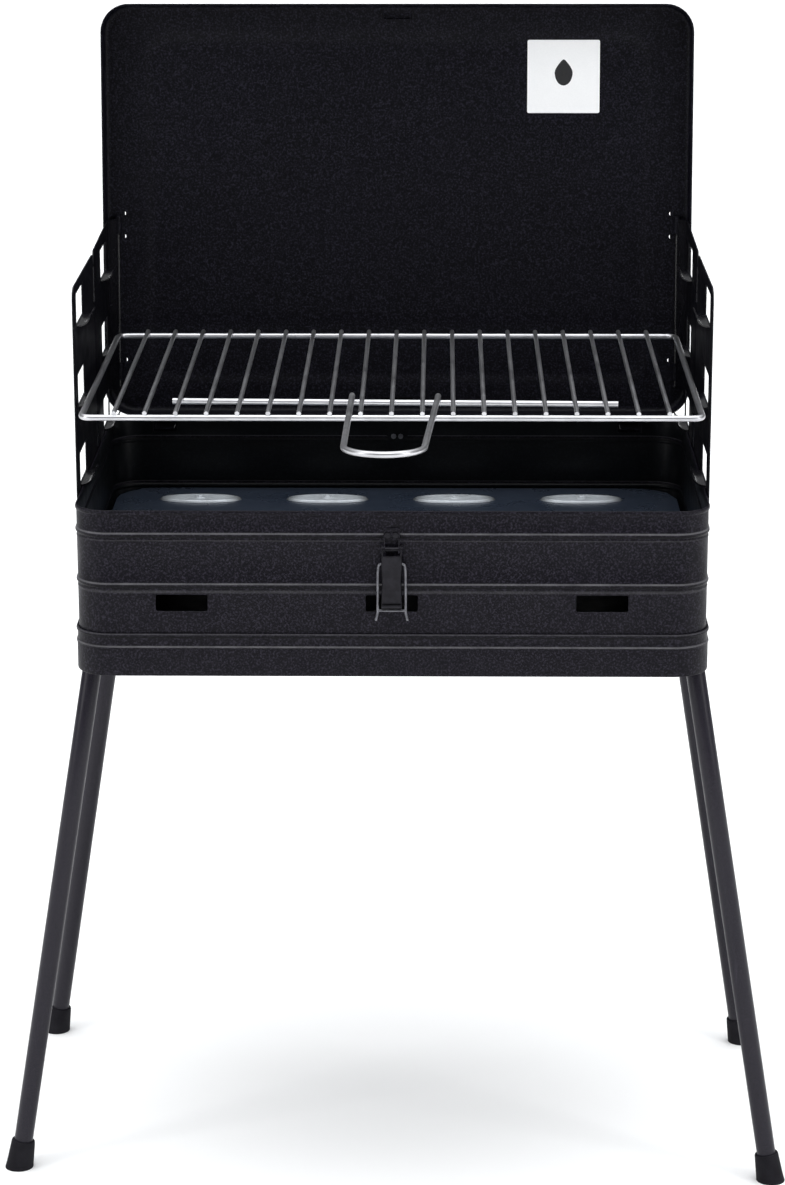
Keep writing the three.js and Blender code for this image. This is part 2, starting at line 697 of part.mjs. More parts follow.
// Room around the other leaf's knuckles.
function knuckleRoom(inner) {
  const half = KNUCKLE.length / 2 + GAP;
  const reach = KNUCKLE.outer + 0.5;
  return KNUCKLE_ZS.flatMap((z) => {
    const outerSpans = [[z - half - 6.6, z - half + GAP], [z + half - GAP, z + half + 6.6]];
    const spans = inner ? [[z - half, z + half]] : outerSpans;
    return spans.map(([low, high]) => block(
      [LEAF_X - 4, LEAF_HINGE_Y - reach, low],
      [LEAF_X + 5, LEAF_HINGE_Y + reach, high],
    ));
  });
}

function plateYZ(points) {
  const shape = new THREE.Shape(points.map(([y, z]) => new THREE.Vector2(y, z)));
  return moved(prism(shape, LEAF_X, LEAF_X + LEAF_SHEET), SIDEWAYS);
}

function frontLeaf() {
  const back = LEAF_HINGE_Y - 0.4;
  const plate = plateYZ([
    [LEAF_FRONT_Y + 5, LEAF_BOTTOM],
    [back, LEAF_BOTTOM],
    [back, LEAF_TOP - 9],
    [back - 5, LEAF_TOP],
    [LEAF_FRONT_Y + 8, LEAF_TOP],
    [LEAF_FRONT_Y + 2, LEAF_TOP - 2.5],
    [LEAF_FRONT_Y, LEAF_TOP - 8],
    [LEAF_FRONT_Y, LEAF_BOTTOM + 5],
  ]);
  const solid = join([cut(plate, leafSlots(FRONT_SLOT_Y)), ...leafTabs(FRONT_SLOT_Y)]);
  const bare = cut(solid, knuckleRoom(false));
  return cut(join([bare, ...knuckles(true)]), [pinRoom]);
}

function leanY(z) {
  return LID_BOTTOM.y + (z - LID_BOTTOM.z) * Math.tan(LID_LEAN);
}

// The rear leaf runs straight back, then bends in to its rolled edge inside the lid's loops.
function rearLeaf() {
  const front = LEAF_HINGE_Y + 0.4;
  const bendBack = 17;
  const lidClear = LID_DEPTH + 2;
  const bendLow = LID_BOTTOM.z + 19;
  const low = LEAF_BOTTOM;
  const top = LEAF_TOP_BACK;
  const plate = plateYZ([
    [front, low],
    [leanY(low) - lidClear, low],
    [leanY(bendLow) - lidClear, bendLow],
    [leanY(bendLow) - bendBack, bendLow],
    [leanY(top) - bendBack, top],
    [front + 6, LEAF_TOP + 1],
    [front, LEAF_TOP - 8],
  ]);
  const edge = (z, back, x) => new THREE.Vector3(x, leanY(z) - back, z);
  const bendTop = top - 0.5;
  const web = slopingStrip(
    [edge(bendLow, bendBack + 1, LEAF_X), edge(bendLow, LOOP.out, LOOP_X - 0.5)],
    [edge(bendTop, bendBack + 1, LEAF_X), edge(bendTop, LOOP.out, LOOP_X - 0.5)],
  );
  const rod = bar(
    edge(bendLow, LOOP.out, LOOP_X).toArray(),
    edge(bendTop, LOOP.out, LOOP_X).toArray(),
    ROLLED_EDGE,
    12,
  );
  const tabs = leafTabs(REAR_SLOT_Y);
  const solid = join([cut(plate, leafSlots(REAR_SLOT_Y)), ...tabs, web, rod]);
  const loopRoom = LOOP_HEIGHTS.map((height) => {
    const half = LOOP.length / 2 + 0.6;
    const spot = (y) => [LOOP_X, y, LOOP.out];
    const outside = bar(spot(height - half), spot(height + half), LOOP.outer + 0.5, 12);
    const inside = bar(spot(height - half - 1), spot(height + half + 1), ROLLED_EDGE + 0.05, 12);
    return moved(outside.subtract(inside), lidGroup.matrixWorld);
  });
  const bare = cut(solid, [...knuckleRoom(true), ...loopRoom]);
  return cut(join([bare, ...knuckles(false)]), [pinRoom]);
}

// A thin strip between two upright edges, one sheet thick towards +X.
function slopingStrip(lowEdge, topEdge) {
  const corners = [];
  for (const [near, far] of [lowEdge, topEdge]) {
    corners.push(near, far);
  }
  const thick = new THREE.Vector3(LEAF_SHEET, 0, 0);
  const points = [...corners, ...corners.map((corner) => corner.clone().add(thick))];
  const faces = [
    [0, 2, 3], [0, 3, 1],
    [4, 5, 7], [4, 7, 6],
    [0, 4, 6], [0, 6, 2],
    [1, 3, 7], [1, 7, 5],
    [2, 6, 7], [2, 7, 3],
    [0, 1, 5], [0, 5, 4],
  ];
  const vertProperties = new Float32Array(points.flatMap((point) => point.toArray()));
  const triVerts = new Uint32Array(faces.flat());
  const mesh = new wasm.Mesh({ numProp: 3, vertProperties, triVerts });
  return new wasm.Manifold(mesh);
}

function leafPin() {
  return bar(
    [LEAF_HINGE_X, LEAF_HINGE_Y, KNUCKLE_ZS[0] - 14],
    [LEAF_HINGE_X, LEAF_HINGE_Y, KNUCKLE_ZS[1] + 14],
    KNUCKLE.pin,
    12,
  );
}

// ---- grate and handle ---------------------------------------------------

function grateFrame() {
  const overlap = 0.5;
  const half = (hand) => bentWire([
    [-hand * overlap, GRATE_FRONT_Y, GRATE_Z],
    [hand * GRATE_HALF_X, GRATE_FRONT_Y, GRATE_Z],
    [hand * GRATE_HALF_X, GRATE_BACK_Y, GRATE_Z],
    [-hand * overlap, GRATE_BACK_Y, GRATE_Z],
  ], FRAME_WIRE, GRATE_CORNER);
  return join([half(-1), half(1)]);
}

function grate() {
  const z = GRATE_Z + FRAME_WIRE + CROSS_WIRE - 0.3;
  const parts = [grateFrame()];
  for (let i = 0; i < CROSS_COUNT; i += 1) {
    const x = (i - (CROSS_COUNT - 1) / 2) * CROSS_PITCH;
    parts.push(bar([x, GRATE_FRONT_Y - 1, z], [x, GRATE_BACK_Y + 1, z], CROSS_WIRE, 8));
  }
  return join(parts);
}

// The handle's crossbar bears up under the cross wires and its loop passes over the front wire.
function handle() {
  const { barHalf, barY, legHalf, loopY, loopRise } = HANDLE;
  const barZ = GRATE_Z - 0.9;
  const legLow = barZ + 2 * HANDLE_WIRE - 0.4;
  const endZ = legLow + loopRise;
  const radius = legHalf - 3.5;
  const straightEnd = loopY + radius;
  const slope = (endZ - legLow) / (barY - loopY);
  const heightAt = (y) => legLow + (barY - y) * slope;
  const points = [new THREE.Vector3(-legHalf, barY + 4, legLow)];
  const steps = 10;
  for (let i = 0; i <= steps; i += 1) {
    const angle = Math.PI * (1 - i / steps);
    const y = straightEnd - radius * Math.sin(angle);
    points.push(new THREE.Vector3(radius * Math.cos(angle), y, heightAt(y)));
  }
  points.push(new THREE.Vector3(legHalf, barY + 4, legLow));
  const loop = wireThrough(points, HANDLE_WIRE);
  const crossbar = bar([-barHalf, barY, barZ], [barHalf, barY, barZ], HANDLE_WIRE, 8);
  const skewed = join([loop, crossbar]).translate([0, -barY, 0]);
  return skewed.rotate([0, 0, THREE.MathUtils.radToDeg(HANDLE_SKEW)]).translate([1.5, barY, 0]);
}

// ---- assembly -----------------------------------------------------------

const legs = legLayout();
piece('case_shell', caseShell(), blackPaint());
piece('base_pan', basePan(legs), blackPaint());
piece('charcoal_tray', charcoalTray(), enamel());

for (const leg of legs) {
  const group = legGroup(leg);
  const length = leg.foot.distanceTo(leg.pivot);
  piece(`${leg.name}_leg`, legTube(length), legPaint(), group);
  piece(`${leg.name}_foot`, footCap(length, group), rubber(), group);
  const pinHalf = LEG_RADIUS + 0.35 + EAR.sheet + 0.8;
  piece(`${leg.name}_leg_pin`, bar([0, -pinHalf, 0], [0, pinHalf, 0], LEG_PIN_RADIUS, 12), zinc(), group);
  const bracket = piece(`${leg.name}_leg_bracket`, legBracket(leg), zinc());
  bracket.position.copy(leg.pivot);
  legRivetSpots(leg).forEach(([x, y], index) => {
    const rivet = piece(`${leg.name}_bracket_rivet_${index + 1}`, legRivet(), zinc());
    rivet.position.set(x, y, 0);
  });
}

latch('front');
latch('rear');

piece('lid_shell', join([lidShell(), ...lidHooks()]), lidPaint(), lidGroup);
piece('lid_label', lidLabel(), label(), lidGroup);

for (const [side, hand] of [['left', -1], ['right', 1]]) {
  const place = (solid) => (hand < 0 ? solid.mirror([1, 0, 0]) : solid);
  piece(`${side}_rear_panel`, place(rearLeaf()), blackPaint());
  piece(`${side}_front_panel`, place(frontLeaf()), blackPaint());
  piece(`${side}_panel_pin`, place(leafPin()), zinc());
}

piece('grate', grate(), chrome());
piece('grate_handle', handle(), chrome());

grill.position.y = FOOTPRINT_SHIFT_Y;

export default grill;
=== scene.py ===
"""Folding camp grill: the looks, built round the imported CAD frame.

Shapes are written in millimetres about the middle of the case, as in the CAD, and turned
into metres in the frame's own place by put().
"""
import math

import bmesh
import bpy
from mathutils import Matrix, Vector


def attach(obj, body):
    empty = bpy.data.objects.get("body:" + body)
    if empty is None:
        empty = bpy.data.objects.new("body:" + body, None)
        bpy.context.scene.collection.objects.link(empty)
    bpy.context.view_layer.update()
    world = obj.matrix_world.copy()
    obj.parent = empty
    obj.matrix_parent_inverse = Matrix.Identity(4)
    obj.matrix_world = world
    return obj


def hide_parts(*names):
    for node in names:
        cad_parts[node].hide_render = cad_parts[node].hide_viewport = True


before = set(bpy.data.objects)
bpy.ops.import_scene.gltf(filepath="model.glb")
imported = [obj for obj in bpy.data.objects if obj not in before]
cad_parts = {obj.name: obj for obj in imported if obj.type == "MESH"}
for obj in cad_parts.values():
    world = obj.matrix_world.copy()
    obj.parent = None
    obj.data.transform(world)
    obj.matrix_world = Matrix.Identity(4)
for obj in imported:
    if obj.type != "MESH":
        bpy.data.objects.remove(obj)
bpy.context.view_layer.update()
scene = bpy.context.scene

# ---- dimensions, mm ----

SHIFT_Y = 51.0
SHEET = 0.8
GAP = 0.3
QUARTERS = ((1, 1), (-1, 1), (-1, -1), (1, -1))

CASE_HALF = (205.0, 141.5)
CASE_CORNER = 22.0
CASE_FLOOR = 385.0
BEADS = (454.0, 420.5)
BEAD_BREAK = 7.0
VENT_XS = (-136.0, 0.0, 136.0)
VENT_Z = 411.0
VENT_HALF = (16.75, 5.5)
HOOK_X = 167.5

SKIRT_OUTSET = GAP + SHEET
SKIRT_BOTTOM = 362.0
SKIRT_TOP = 390.7

TRAY_HALF = (200.0, 136.0)
TRAY_CORNER = 30.0
TRAY_TOP = 419.3
DISC_PITCH = (90.5, 66.7)
DISC_GRID = (4, 4)
DISC_SHIFT = -4.0
DISC_HALF = (30.0, 10.5)

LEG_RADIUS = 6.35
LEG_PIVOT = (196.6, 98.0, 375.0)
LEG_STAGGER = 8.0
FOOT_OUT = (60.4, 22.0)
LEG_TAIL = 3.2
TUBE_CLEAR = 4.9

LID_LEAN = math.radians(6.03)
LID_HALF_X = 209.3
LID_LENGTH = 291.4
LID_CORNER = 20.0
LID_FOOT = (150.75, 472.4)
LOOP_X = 200.5
LOOPS = [(hand * LOOP_X, height) for hand in (-1, 1) for height in (29.9, 135.1)]
CATCH_HEIGHTS = (8.6, LID_LENGTH - 8.6)
LABEL_HALF = 25.75
LABEL_MIDDLE = (118.35, 240.35)

LEAF_X = 206.15
LEAF_BOTTOM = 458.4
LEAF_TOP = 608.0
LEAF_TOP_BACK = 612.5
LEAF_FRONT = -95.0
HINGE_X = 207.75
HINGE_Y = 38.0
KNUCKLE_ZS = (485.5, 587.0)
TAB_LEVELS = (473.2, 526.0, 579.5)
TAB_REACH = 8.2
TAB_UP = 5.7
TAB_LENGTH = 41.0
SLOT_HEIGHT = 22.0
SLOT_YS = (-56.0, 108.0)

GRATE_Z = 534.0
GRATE_HALF_X = 198.1
GRATE_YS = (-143.0, 123.0)
CROSS_PITCH = 19.66
CROSS_COUNT = 19
HANDLE_BAR_Y = -93.0
HANDLE_BAR_HALF = 145.0
HANDLE_LEG_X = 28.0
HANDLE_TIP_Y = -284.0
HANDLE_SKEW = math.radians(-1.5)

LATCH_PIN_Y = -147.0
LATCH_PIN_Z = 448.8
PIN_FRONT = LATCH_PIN_Y - 0.2
BAIL_Z = 439.0
BAIL_LOW = 407.8
BLADE_LOW = 411.2
BLADE_HALF = 6.6
BLADE_ACROSS = (-1, -0.96, -0.92, -0.5, 0, 0.5, 0.92, 0.96, 1)


# ---- mesh helpers: each returns (vertices, faces) in mm ----


def merge(parts):
    vertices, faces = [], []
    for part_vertices, part_faces in parts:
        start = len(vertices)
        vertices += [Vector(v) for v in part_vertices]
        faces += [[start + index for index in face] for face in part_faces]
    return vertices, faces


def lofted(loops, closed=False, caps=True):
    """Skin over loops that all have the same number of points. closed joins last to first."""
    count = len(loops[0])
    vertices = [Vector(point) for loop in loops for point in loop]
    faces = []
    rows = len(loops) if closed else len(loops) - 1
    for row in range(rows):
        here = row * count
        there = ((row + 1) % len(loops)) * count
        for i in range(count):
            j = (i + 1) % count
            faces.append([here + i, here + j, there + j, there + i])
    if caps and not closed:
        faces.append(list(reversed(range(count))))
        faces.append([(len(loops) - 1) * count + i for i in range(count)])
    return vertices, faces


def grid_sheet(rows):
    """An open sheet through rows that all have the same number of points."""
    count = len(rows[0])
    starts = [row * count + k for row in range(len(rows) - 1) for k in range(count - 1)]
    faces = [[start, start + 1, start + count + 1, start + count] for start in starts]
    return [point for row in rows for point in row], faces


def circle_frame(direction):
    direction = direction.normalized()
    helper = Vector((0, 0, 1)) if abs(direction.z) < 0.9 else Vector((1, 0, 0))
    side = direction.cross(helper).normalized()
    return side, direction.cross(side).normalized()


def ring(centre, side, other, radius, sides):
    angles = [2 * math.pi * k / sides for k in range(sides)]
    return [centre + (side * math.cos(a) + other * math.sin(a)) * radius for a in angles]


def wire(points, radius, sides=16, closed=False):
    """A round wire along a path, with its section carried along without twisting."""
    points = [Vector(point) for point in points]
    total = len(points)
    loops = []
    side = None
    for i, point in enumerate(points):
        before = points[i - 1] if closed or i > 0 else point
        after = points[(i + 1) % total] if closed or i < total - 1 else point
        direction = (after - before).normalized()
        if side is None:
            side, _ = circle_frame(direction)
        side = (side - direction * side.dot(direction)).normalized()
        loops.append(ring(point, side, direction.cross(side), radius, sides))
    return lofted(loops, closed=closed)


def turned(start, end, profile, sides=32):
    """A turned part: profile lists (radius, distance from start towards end)."""
    start, end = Vector(start), Vector(end)
    direction = (end - start).normalized()
    side, other = circle_frame(direction)
    return lofted([ring(start + direction * far, side, other, radius, sides) for radius, far in profile])


def bent(corners, bend, steps=6):
    """Straight runs through corners, with each corner rounded."""
    corners = [Vector(corner) for corner in corners]
    points = [corners[0]]
    for i in range(1, len(corners) - 1):
        here = corners[i]
        before = here.lerp(corners[i - 1], bend / (here - corners[i - 1]).length)
        after = here.lerp(corners[i + 1], bend / (here - corners[i + 1]).length)
        for k in range(steps + 1):
            t = k / steps
            points.append(before.lerp(here, t).lerp(here.lerp(after, t), t))
    points.append(corners[-1])
    return points


def slab(low, high):
    xs, ys, zs = zip(low, high)
    vertices = [(x, y, z) for z in zs for y in ys for x in xs]
    faces = [[0, 2, 3, 1], [4, 5, 7, 6], [0, 1, 5, 4], [2, 6, 7, 3], [0, 4, 6, 2], [1, 3, 7, 5]]
    return vertices, faces


def prism(outline, low, high, place):
    """A flat outline made thick; place(u, v, w) gives the point in space."""
    return lofted([[place(u, v, low) for u, v in outline], [place(u, v, high) for u, v in outline]])


def arc(middle, radius, start, stop, steps):
    """Points along an arc between two angles in degrees, both ends included."""
    angles = [math.radians(start + (stop - start) * k / steps) for k in range(steps + 1)]
    return [(middle[0] + radius * math.cos(a), middle[1] + radius * math.sin(a)) for a in angles]


def rounded_outline(half_u, half_v, corner, middle=(0, 0), steps=6):
    points = []
    for quarter, (sign_u, sign_v) in enumerate(QUARTERS):
        for k in range(steps + 1):
            angle = math.pi / 2 * (quarter + k / steps)
            points.append((
                middle[0] + sign_u * (half_u - corner) + corner * math.cos(angle),
                middle[1] + sign_v * (half_v - corner) + corner * math.sin(angle),
            ))
    return points


def stations(half_x, half_y, corner, corner_steps=14, xs=(), ys=()):
    """Places round a rounded rectangle, each with its outward normal. Extra places lie at
    the given x on the long sides and at the given y on the short ones."""
    result = []
    for quarter, (sign_x, sign_y) in enumerate(QUARTERS):
        for k in range(corner_steps + 1):
            angle = math.pi / 2 * (quarter + k / corner_steps)
            normal = Vector((math.cos(angle), math.sin(angle), 0))
            middle = Vector((sign_x * (half_x - corner), sign_y * (half_y - corner), 0))
            result.append((middle + normal * corner, normal))
        angle = math.pi / 2 * (quarter + 1)
        normal = Vector((math.cos(angle), math.sin(angle), 0))
        if quarter in (0, 2):
            side = 1 if quarter == 0 else -1
            for x in sorted(xs, reverse=quarter == 0):
                result.append((Vector((x, side * half_y, 0)), normal))
        else:
            side = -1 if quarter == 1 else 1
            for y in sorted(ys, reverse=quarter == 1):
                result.append((Vector((side * half_x, y, 0)), normal))
    return result


def swept(places, profile):
    """A closed profile carried round a closed path. profile(place) lists (outset, z)."""
    loops = []
    for point, normal in places:
        loops.append([point + normal * outset + Vector((0, 0, z)) for outset, z in profile(point)])
    return lofted(loops, closed=True)


# ---- objects ----


def make_mesh(name, part, join=True):
    """A mesh in metres from (vertices, faces) in mm. join merges points that coincide."""
    vertices, faces = part
    mesh = bpy.data.meshes.new(name)
    mesh.from_pydata([(v[0] / 1000, (v[1] + SHIFT_Y) / 1000, v[2] / 1000) for v in vertices], [], faces)
    if join:
        mesh.validate()
    work = bmesh.new()
    work.from_mesh(mesh)
    if join:
        bmesh.ops.remove_doubles(work, verts=work.verts, dist=1e-6)
    bmesh.ops.recalc_face_normals(work, faces=work.faces)
    work.to_mesh(mesh)
    work.free()
    return mesh


def smooth(mesh, angle=35):
    mesh.polygons.foreach_set("use_smooth", [True] * len(mesh.polygons))
    mesh.set_sharp_from_angle(angle=math.radians(angle))


def soften(piece, width, angle=40):
    """Rounds the edges sharper than an angle; width in mm."""
    edges = piece.modifiers.new("edges", "BEVEL")
    edges.width = width / 1000
    edges.segments = 2
    edges.limit_method = "ANGLE"
    edges.angle_limit = math.radians(angle)


def put(name, part, material, body, stands_for=(), angle=35, bevel=0.0, solid=0.0):
    """Makes a piece from (vertices, faces) in mm and lets it ride on its CAD body."""
    mesh = make_mesh(name, part)
    piece = bpy.data.objects.new(name, mesh)
    scene.collection.objects.link(piece)
    mesh.materials.append(material)
    if solid:
        thick = piece.modifiers.new("sheet", "SOLIDIFY")
        thick.thickness = solid / 1000
        thick.offset = 0
    if bevel:
        soften(piece, bevel)
    smooth(mesh, angle)
    if body:
        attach(piece, body)
    if stands_for:
        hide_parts(*stands_for)
    return piece


def carve(piece, part, angle=35):
    """Cuts closed shapes, given in mm, out of a piece's mesh."""
    tool_mesh = make_mesh("tool", part, join=False)
    tool = bpy.data.objects.new("tool", tool_mesh)
    scene.collection.objects.link(tool)
    subtract = piece.modifiers.new("cut", "BOOLEAN")
    subtract.operation = "DIFFERENCE"
    subtract.solver = "EXACT"
    subtract.object = tool
    bpy.context.view_layer.update()
    evaluated = piece.evaluated_get(bpy.context.evaluated_depsgraph_get())
    result = bpy.data.meshes.new_from_object(evaluated)
    piece.modifiers.remove(subtract)
    old = piece.data
    piece.data = result
    result.name = old.name
    bpy.data.meshes.remove(old)
    bpy.data.objects.remove(tool)
    bpy.data.meshes.remove(tool_mesh)
    smooth(piece.data, angle)


def dress(node, material, bevel=0.0):
    """Gives a CAD node that stays its material."""
    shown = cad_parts[node]
    for holder in shown.material_slots:
        holder.link = "OBJECT"
        holder.material = material
    if bevel:
        soften(shown, bevel)


# ---- materials ----


def toned(colour, share):
    return tuple(c * share for c in colour)


class Finish:
    """A material with a Principled shader, and short ways to add nodes to it."""

    def __init__(self, name, roughness, metallic=0.0, specular=0.5):
        self.material = bpy.data.materials.new(name)
        self.material.use_nodes = True
        self.tree = self.material.node_tree
        self.shader = self.tree.nodes["Principled BSDF"]
        self.shader.inputs["Roughness"].default_value = roughness
        self.shader.inputs["Metallic"].default_value = metallic
        self.shader.inputs["Specular IOR Level"].default_value = specular
        self.place = self.node("ShaderNodeTexCoord").outputs["Object"]

    def node(self, kind, **settings):
        made = self.tree.nodes.new(kind)
        for key, value in settings.items():
            setattr(made, key, value)
        return made

    def link(self, source, target):
        self.tree.links.new(source, target)

    def noise(self, scale, detail=2.0, roughness=0.5, stretch=None):
        made = self.node("ShaderNodeTexNoise")
        made.inputs["Scale"].default_value = scale
        made.inputs["Detail"].default_value = detail
        made.inputs["Roughness"].default_value = roughness
        source = self.place
        if stretch:
            mapping = self.node("ShaderNodeMapping")
            mapping.inputs["Scale"].default_value = stretch
            self.link(source, mapping.inputs["Vector"])
            source = mapping.outputs["Vector"]
        self.link(source, made.inputs["Vector"])
        return made.outputs["Fac"]

    def spread(self, fac, low, high, to_low=0.0, to_high=1.0):
        made = self.node("ShaderNodeMapRange")
        made.clamp = True
        for key, value in (("From Min", low), ("From Max", high), ("To Min", to_low), ("To Max", to_high)):
            made.inputs[key].default_value = value
        self.link(fac, made.inputs["Value"])
        return made.outputs["Result"]

    def blend(self, fac, first, second):
        """Mixes two colours, each a tuple or a socket."""
        made = self.node("ShaderNodeMix", data_type="RGBA")
        if isinstance(fac, float):
            made.inputs["Factor"].default_value = fac
        else:
            self.link(fac, made.inputs["Factor"])
        for key, value in ((6, first), (7, second)):
            if isinstance(value, tuple):
                made.inputs[key].default_value = (*value, 1)
            else:
                self.link(value, made.inputs[key])
        return made.outputs[2]

    def times(self, first, second):
        made = self.node("ShaderNodeMath", operation="MULTIPLY")
        for key, value in ((0, first), (1, second)):
            if isinstance(value, (int, float)):
                made.inputs[key].default_value = value
            else:
                self.link(value, made.inputs[key])
        return made.outputs[0]

    def colour(self, source):
        self.link(source, self.shader.inputs["Base Color"])

    def rough(self, source):
        self.link(source, self.shader.inputs["Roughness"])

    def bump(self, *layers):
        """Layers of (height socket, distance in mm), the broadest first."""
        normal = None
        for height, distance in layers:
            made = self.node("ShaderNodeBump")
            made.inputs["Strength"].default_value = 1.0
            made.inputs["Distance"].default_value = distance / 1000
            self.link(height, made.inputs["Height"])
            if normal:
                self.link(normal, made.inputs["Normal"])
            normal = made.outputs["Normal"]
        self.link(normal, self.shader.inputs["Normal"])


def powder_coat(name, dark, light, roughness, specular, grain=0.05, painted_light_lines=()):
    """Fine-textured powder coat over a faint orange peel, with optional painted light at the beads:
    lighter painted highlight on their edges and dark painted shadow under them: (height, half width,
    strength, colour), in mm."""
    made = Finish(name, roughness, specular=specular)
    fine = made.noise(760, 3.0, 0.65)
    peel = made.noise(300, 1.0)
    cloud = made.noise(14, 3.0)
    speck = made.spread(fine, 0.48, 0.66)
    base = made.blend(made.spread(cloud, 0.35, 0.65), dark, toned(dark, 1.25))
    coat = made.blend(speck, base, light)
    if painted_light_lines:
        height = made.node("ShaderNodeSeparateXYZ")
        made.link(made.place, height.inputs["Vector"])
        # Noise that breaks up the painted highlight and shadow lines.
        light_line_breakup = made.spread(made.noise(70, 4.0, 0.6), 0.25, 0.7, 0.45, 1.0)
        for middle, half, strength, tint in painted_light_lines:
            away = made.node("ShaderNodeMath", operation="SUBTRACT")
            made.link(height.outputs["Z"], away.inputs[0])
            away.inputs[1].default_value = middle / 1000
            size = made.node("ShaderNodeMath", operation="ABSOLUTE")
            made.link(away.outputs[0], size.inputs[0])
            near = made.spread(size.outputs[0], half * 0.35 / 1000, half / 1000, strength, 0.0)
            coat = made.blend(made.times(near, light_line_breakup), coat, tint)
    made.colour(coat)
    made.rough(made.spread(made.noise(60, 4.0), 0.3, 0.7, roughness - 0.06, roughness + 0.07))
    made.bump((peel, grain * 1.6), (fine, grain))
    return made.material


def tube_paint(name, dark, light, roughness, specular):
    """Smoother semi-matt paint on the leg tubes, with faint scuffs along them."""
    made = Finish(name, roughness, specular=specular)
    fine = made.noise(1500, 2.0, 0.6)
    scuff = made.noise(220, 4.0, 0.6, stretch=(1, 1, 0.08))
    base = made.blend(made.spread(fine, 0.4, 0.7), dark, light)
    worn = made.times(made.spread(scuff, 0.62, 0.75), 0.5)
    made.colour(made.blend(worn, base, toned(light, 1.8)))
    made.rough(made.spread(scuff, 0.3, 0.7, roughness - 0.05, roughness + 0.08))
    made.bump((fine, 0.025))
    return made.material


def bright_wire(name, tint, roughness):
    """Chrome-plated wire: bright, a little uneven, with faint drawing lines."""
    made = Finish(name, roughness, metallic=1.0)
    patch = made.noise(45, 4.0, 0.6)
    fine = made.noise(900, 2.0)
    made.colour(made.blend(made.spread(patch, 0.35, 0.7), tint, toned(tint, 0.72)))
    made.rough(made.spread(patch, 0.3, 0.75, roughness - 0.04, roughness + 0.12))
    made.bump((fine, 0.004))
    return made.material


def bare_metal(name, tint, roughness):
    """Bare metal where the enamel is left off, with a painted sheen: bright in the middle and painted dark
    towards the ends as shade.
    """
    made = Finish(name, roughness, metallic=0.25)
    painted_disc_sheen = made.node("ShaderNodeAttribute", attribute_name="painted_disc_sheen").outputs["Fac"]
    patch = made.noise(120, 4.0, 0.6)
    drawn = made.noise(500, 3.0, 0.6, stretch=(0.12, 1, 1))
    worn = made.blend(made.spread(patch, 0.35, 0.7), tint, toned(tint, 0.8))
    # Painted sheen: the metal's colour where the attribute is 1, painted near-black shade where it is 0.
    made.colour(made.blend(painted_disc_sheen, toned(tint, 0.12), worn))
    made.rough(made.spread(drawn, 0.3, 0.7, roughness - 0.08, roughness + 0.12))
    made.bump((drawn, 0.02))
    return made.material


def plated(name, tint, roughness):
    """Dark zinc plate on small hardware."""
    made = Finish(name, roughness, metallic=0.85)
    patch = made.noise(260, 3.0)
    made.colour(made.blend(made.spread(patch, 0.35, 0.65), tint, toned(tint, 1.7)))
    made.rough(made.spread(patch, 0.3, 0.7, roughness - 0.08, roughness + 0.1))
    made.bump((made.noise(1200, 2.0), 0.015))
    return made.material


def vitreous(name, dark, light):
    """Smooth blue-grey enamel with fine flecks and gentle waves."""
    made = Finish(name, 0.3, specular=0.5)
    fleck = made.noise(1300, 1.0)
    cloud = made.noise(18, 3.0)
    base = made.blend(made.spread(cloud, 0.35, 0.65), dark, light)
    flecks = made.times(made.spread(fleck, 0.66, 0.74), 0.15)
    made.colour(made.blend(flecks, base, toned(light, 3)))
    made.rough(made.spread(made.noise(40, 3.0), 0.3, 0.7, 0.24, 0.36))
    made.bump((made.noise(500, 1.0), 0.01))
    return made.material


def moulded(name, dark, light):
    """Matt moulded rubber."""
    made = Finish(name, 0.72, specular=0.14)
    fine = made.noise(1100, 3.0)
    made.colour(made.blend(made.spread(made.noise(90, 4.0), 0.4, 0.7), dark, light))
    made.rough(made.spread(fine, 0.3, 0.7, 0.66, 0.8))
    made.bump((fine, 0.05))
    return made.material


def printed(name, base, shade):
    """Satin label film over paper."""
    made = Finish(name, 0.42, specular=0.4)
    fibre = made.noise(900, 4.0)
    made.colour(made.blend(made.spread(fibre, 0.3, 0.7), base, shade))
    made.bump((fibre, 0.008))
    return made.material


# Bead colours: the first is painted highlight along the bead edges, the second is painted shadow under the
# beads.
BEAD_HIGHLIGHT_TINT = (0.3, 0.295, 0.31)
SHADED = (0.0008, 0.0008, 0.001)
CASE_TONES = ((0.0016, 0.0012, 0.0032), (0.0225, 0.02, 0.03), 0.46, 0.13, 0.07)
case_paint = powder_coat("case_powder_coat", *CASE_TONES)
# The shell and the pan carry painted highlight and painted shadow lines at their beads.
shell_paint = powder_coat("shell_powder_coat", *CASE_TONES, painted_light_lines=(
    (457.4, 0.75, 0.36, BEAD_HIGHLIGHT_TINT), (455.2, 0.9, 0.9, SHADED), (452.7, 0.6, 0.1, BEAD_HIGHLIGHT_TINT),
    (423.8, 0.75, 0.36, BEAD_HIGHLIGHT_TINT), (421.7, 0.9, 0.9, SHADED), (418.6, 1.5, 0.1, BEAD_HIGHLIGHT_TINT),
))
pan_paint = powder_coat("pan_powder_coat", *CASE_TONES, painted_light_lines=(
    (390.2, 0.6, 0.16, BEAD_HIGHLIGHT_TINT), (388.2, 0.9, 0.9, SHADED), (381.8, 0.75, 0.36, BEAD_HIGHLIGHT_TINT),
))
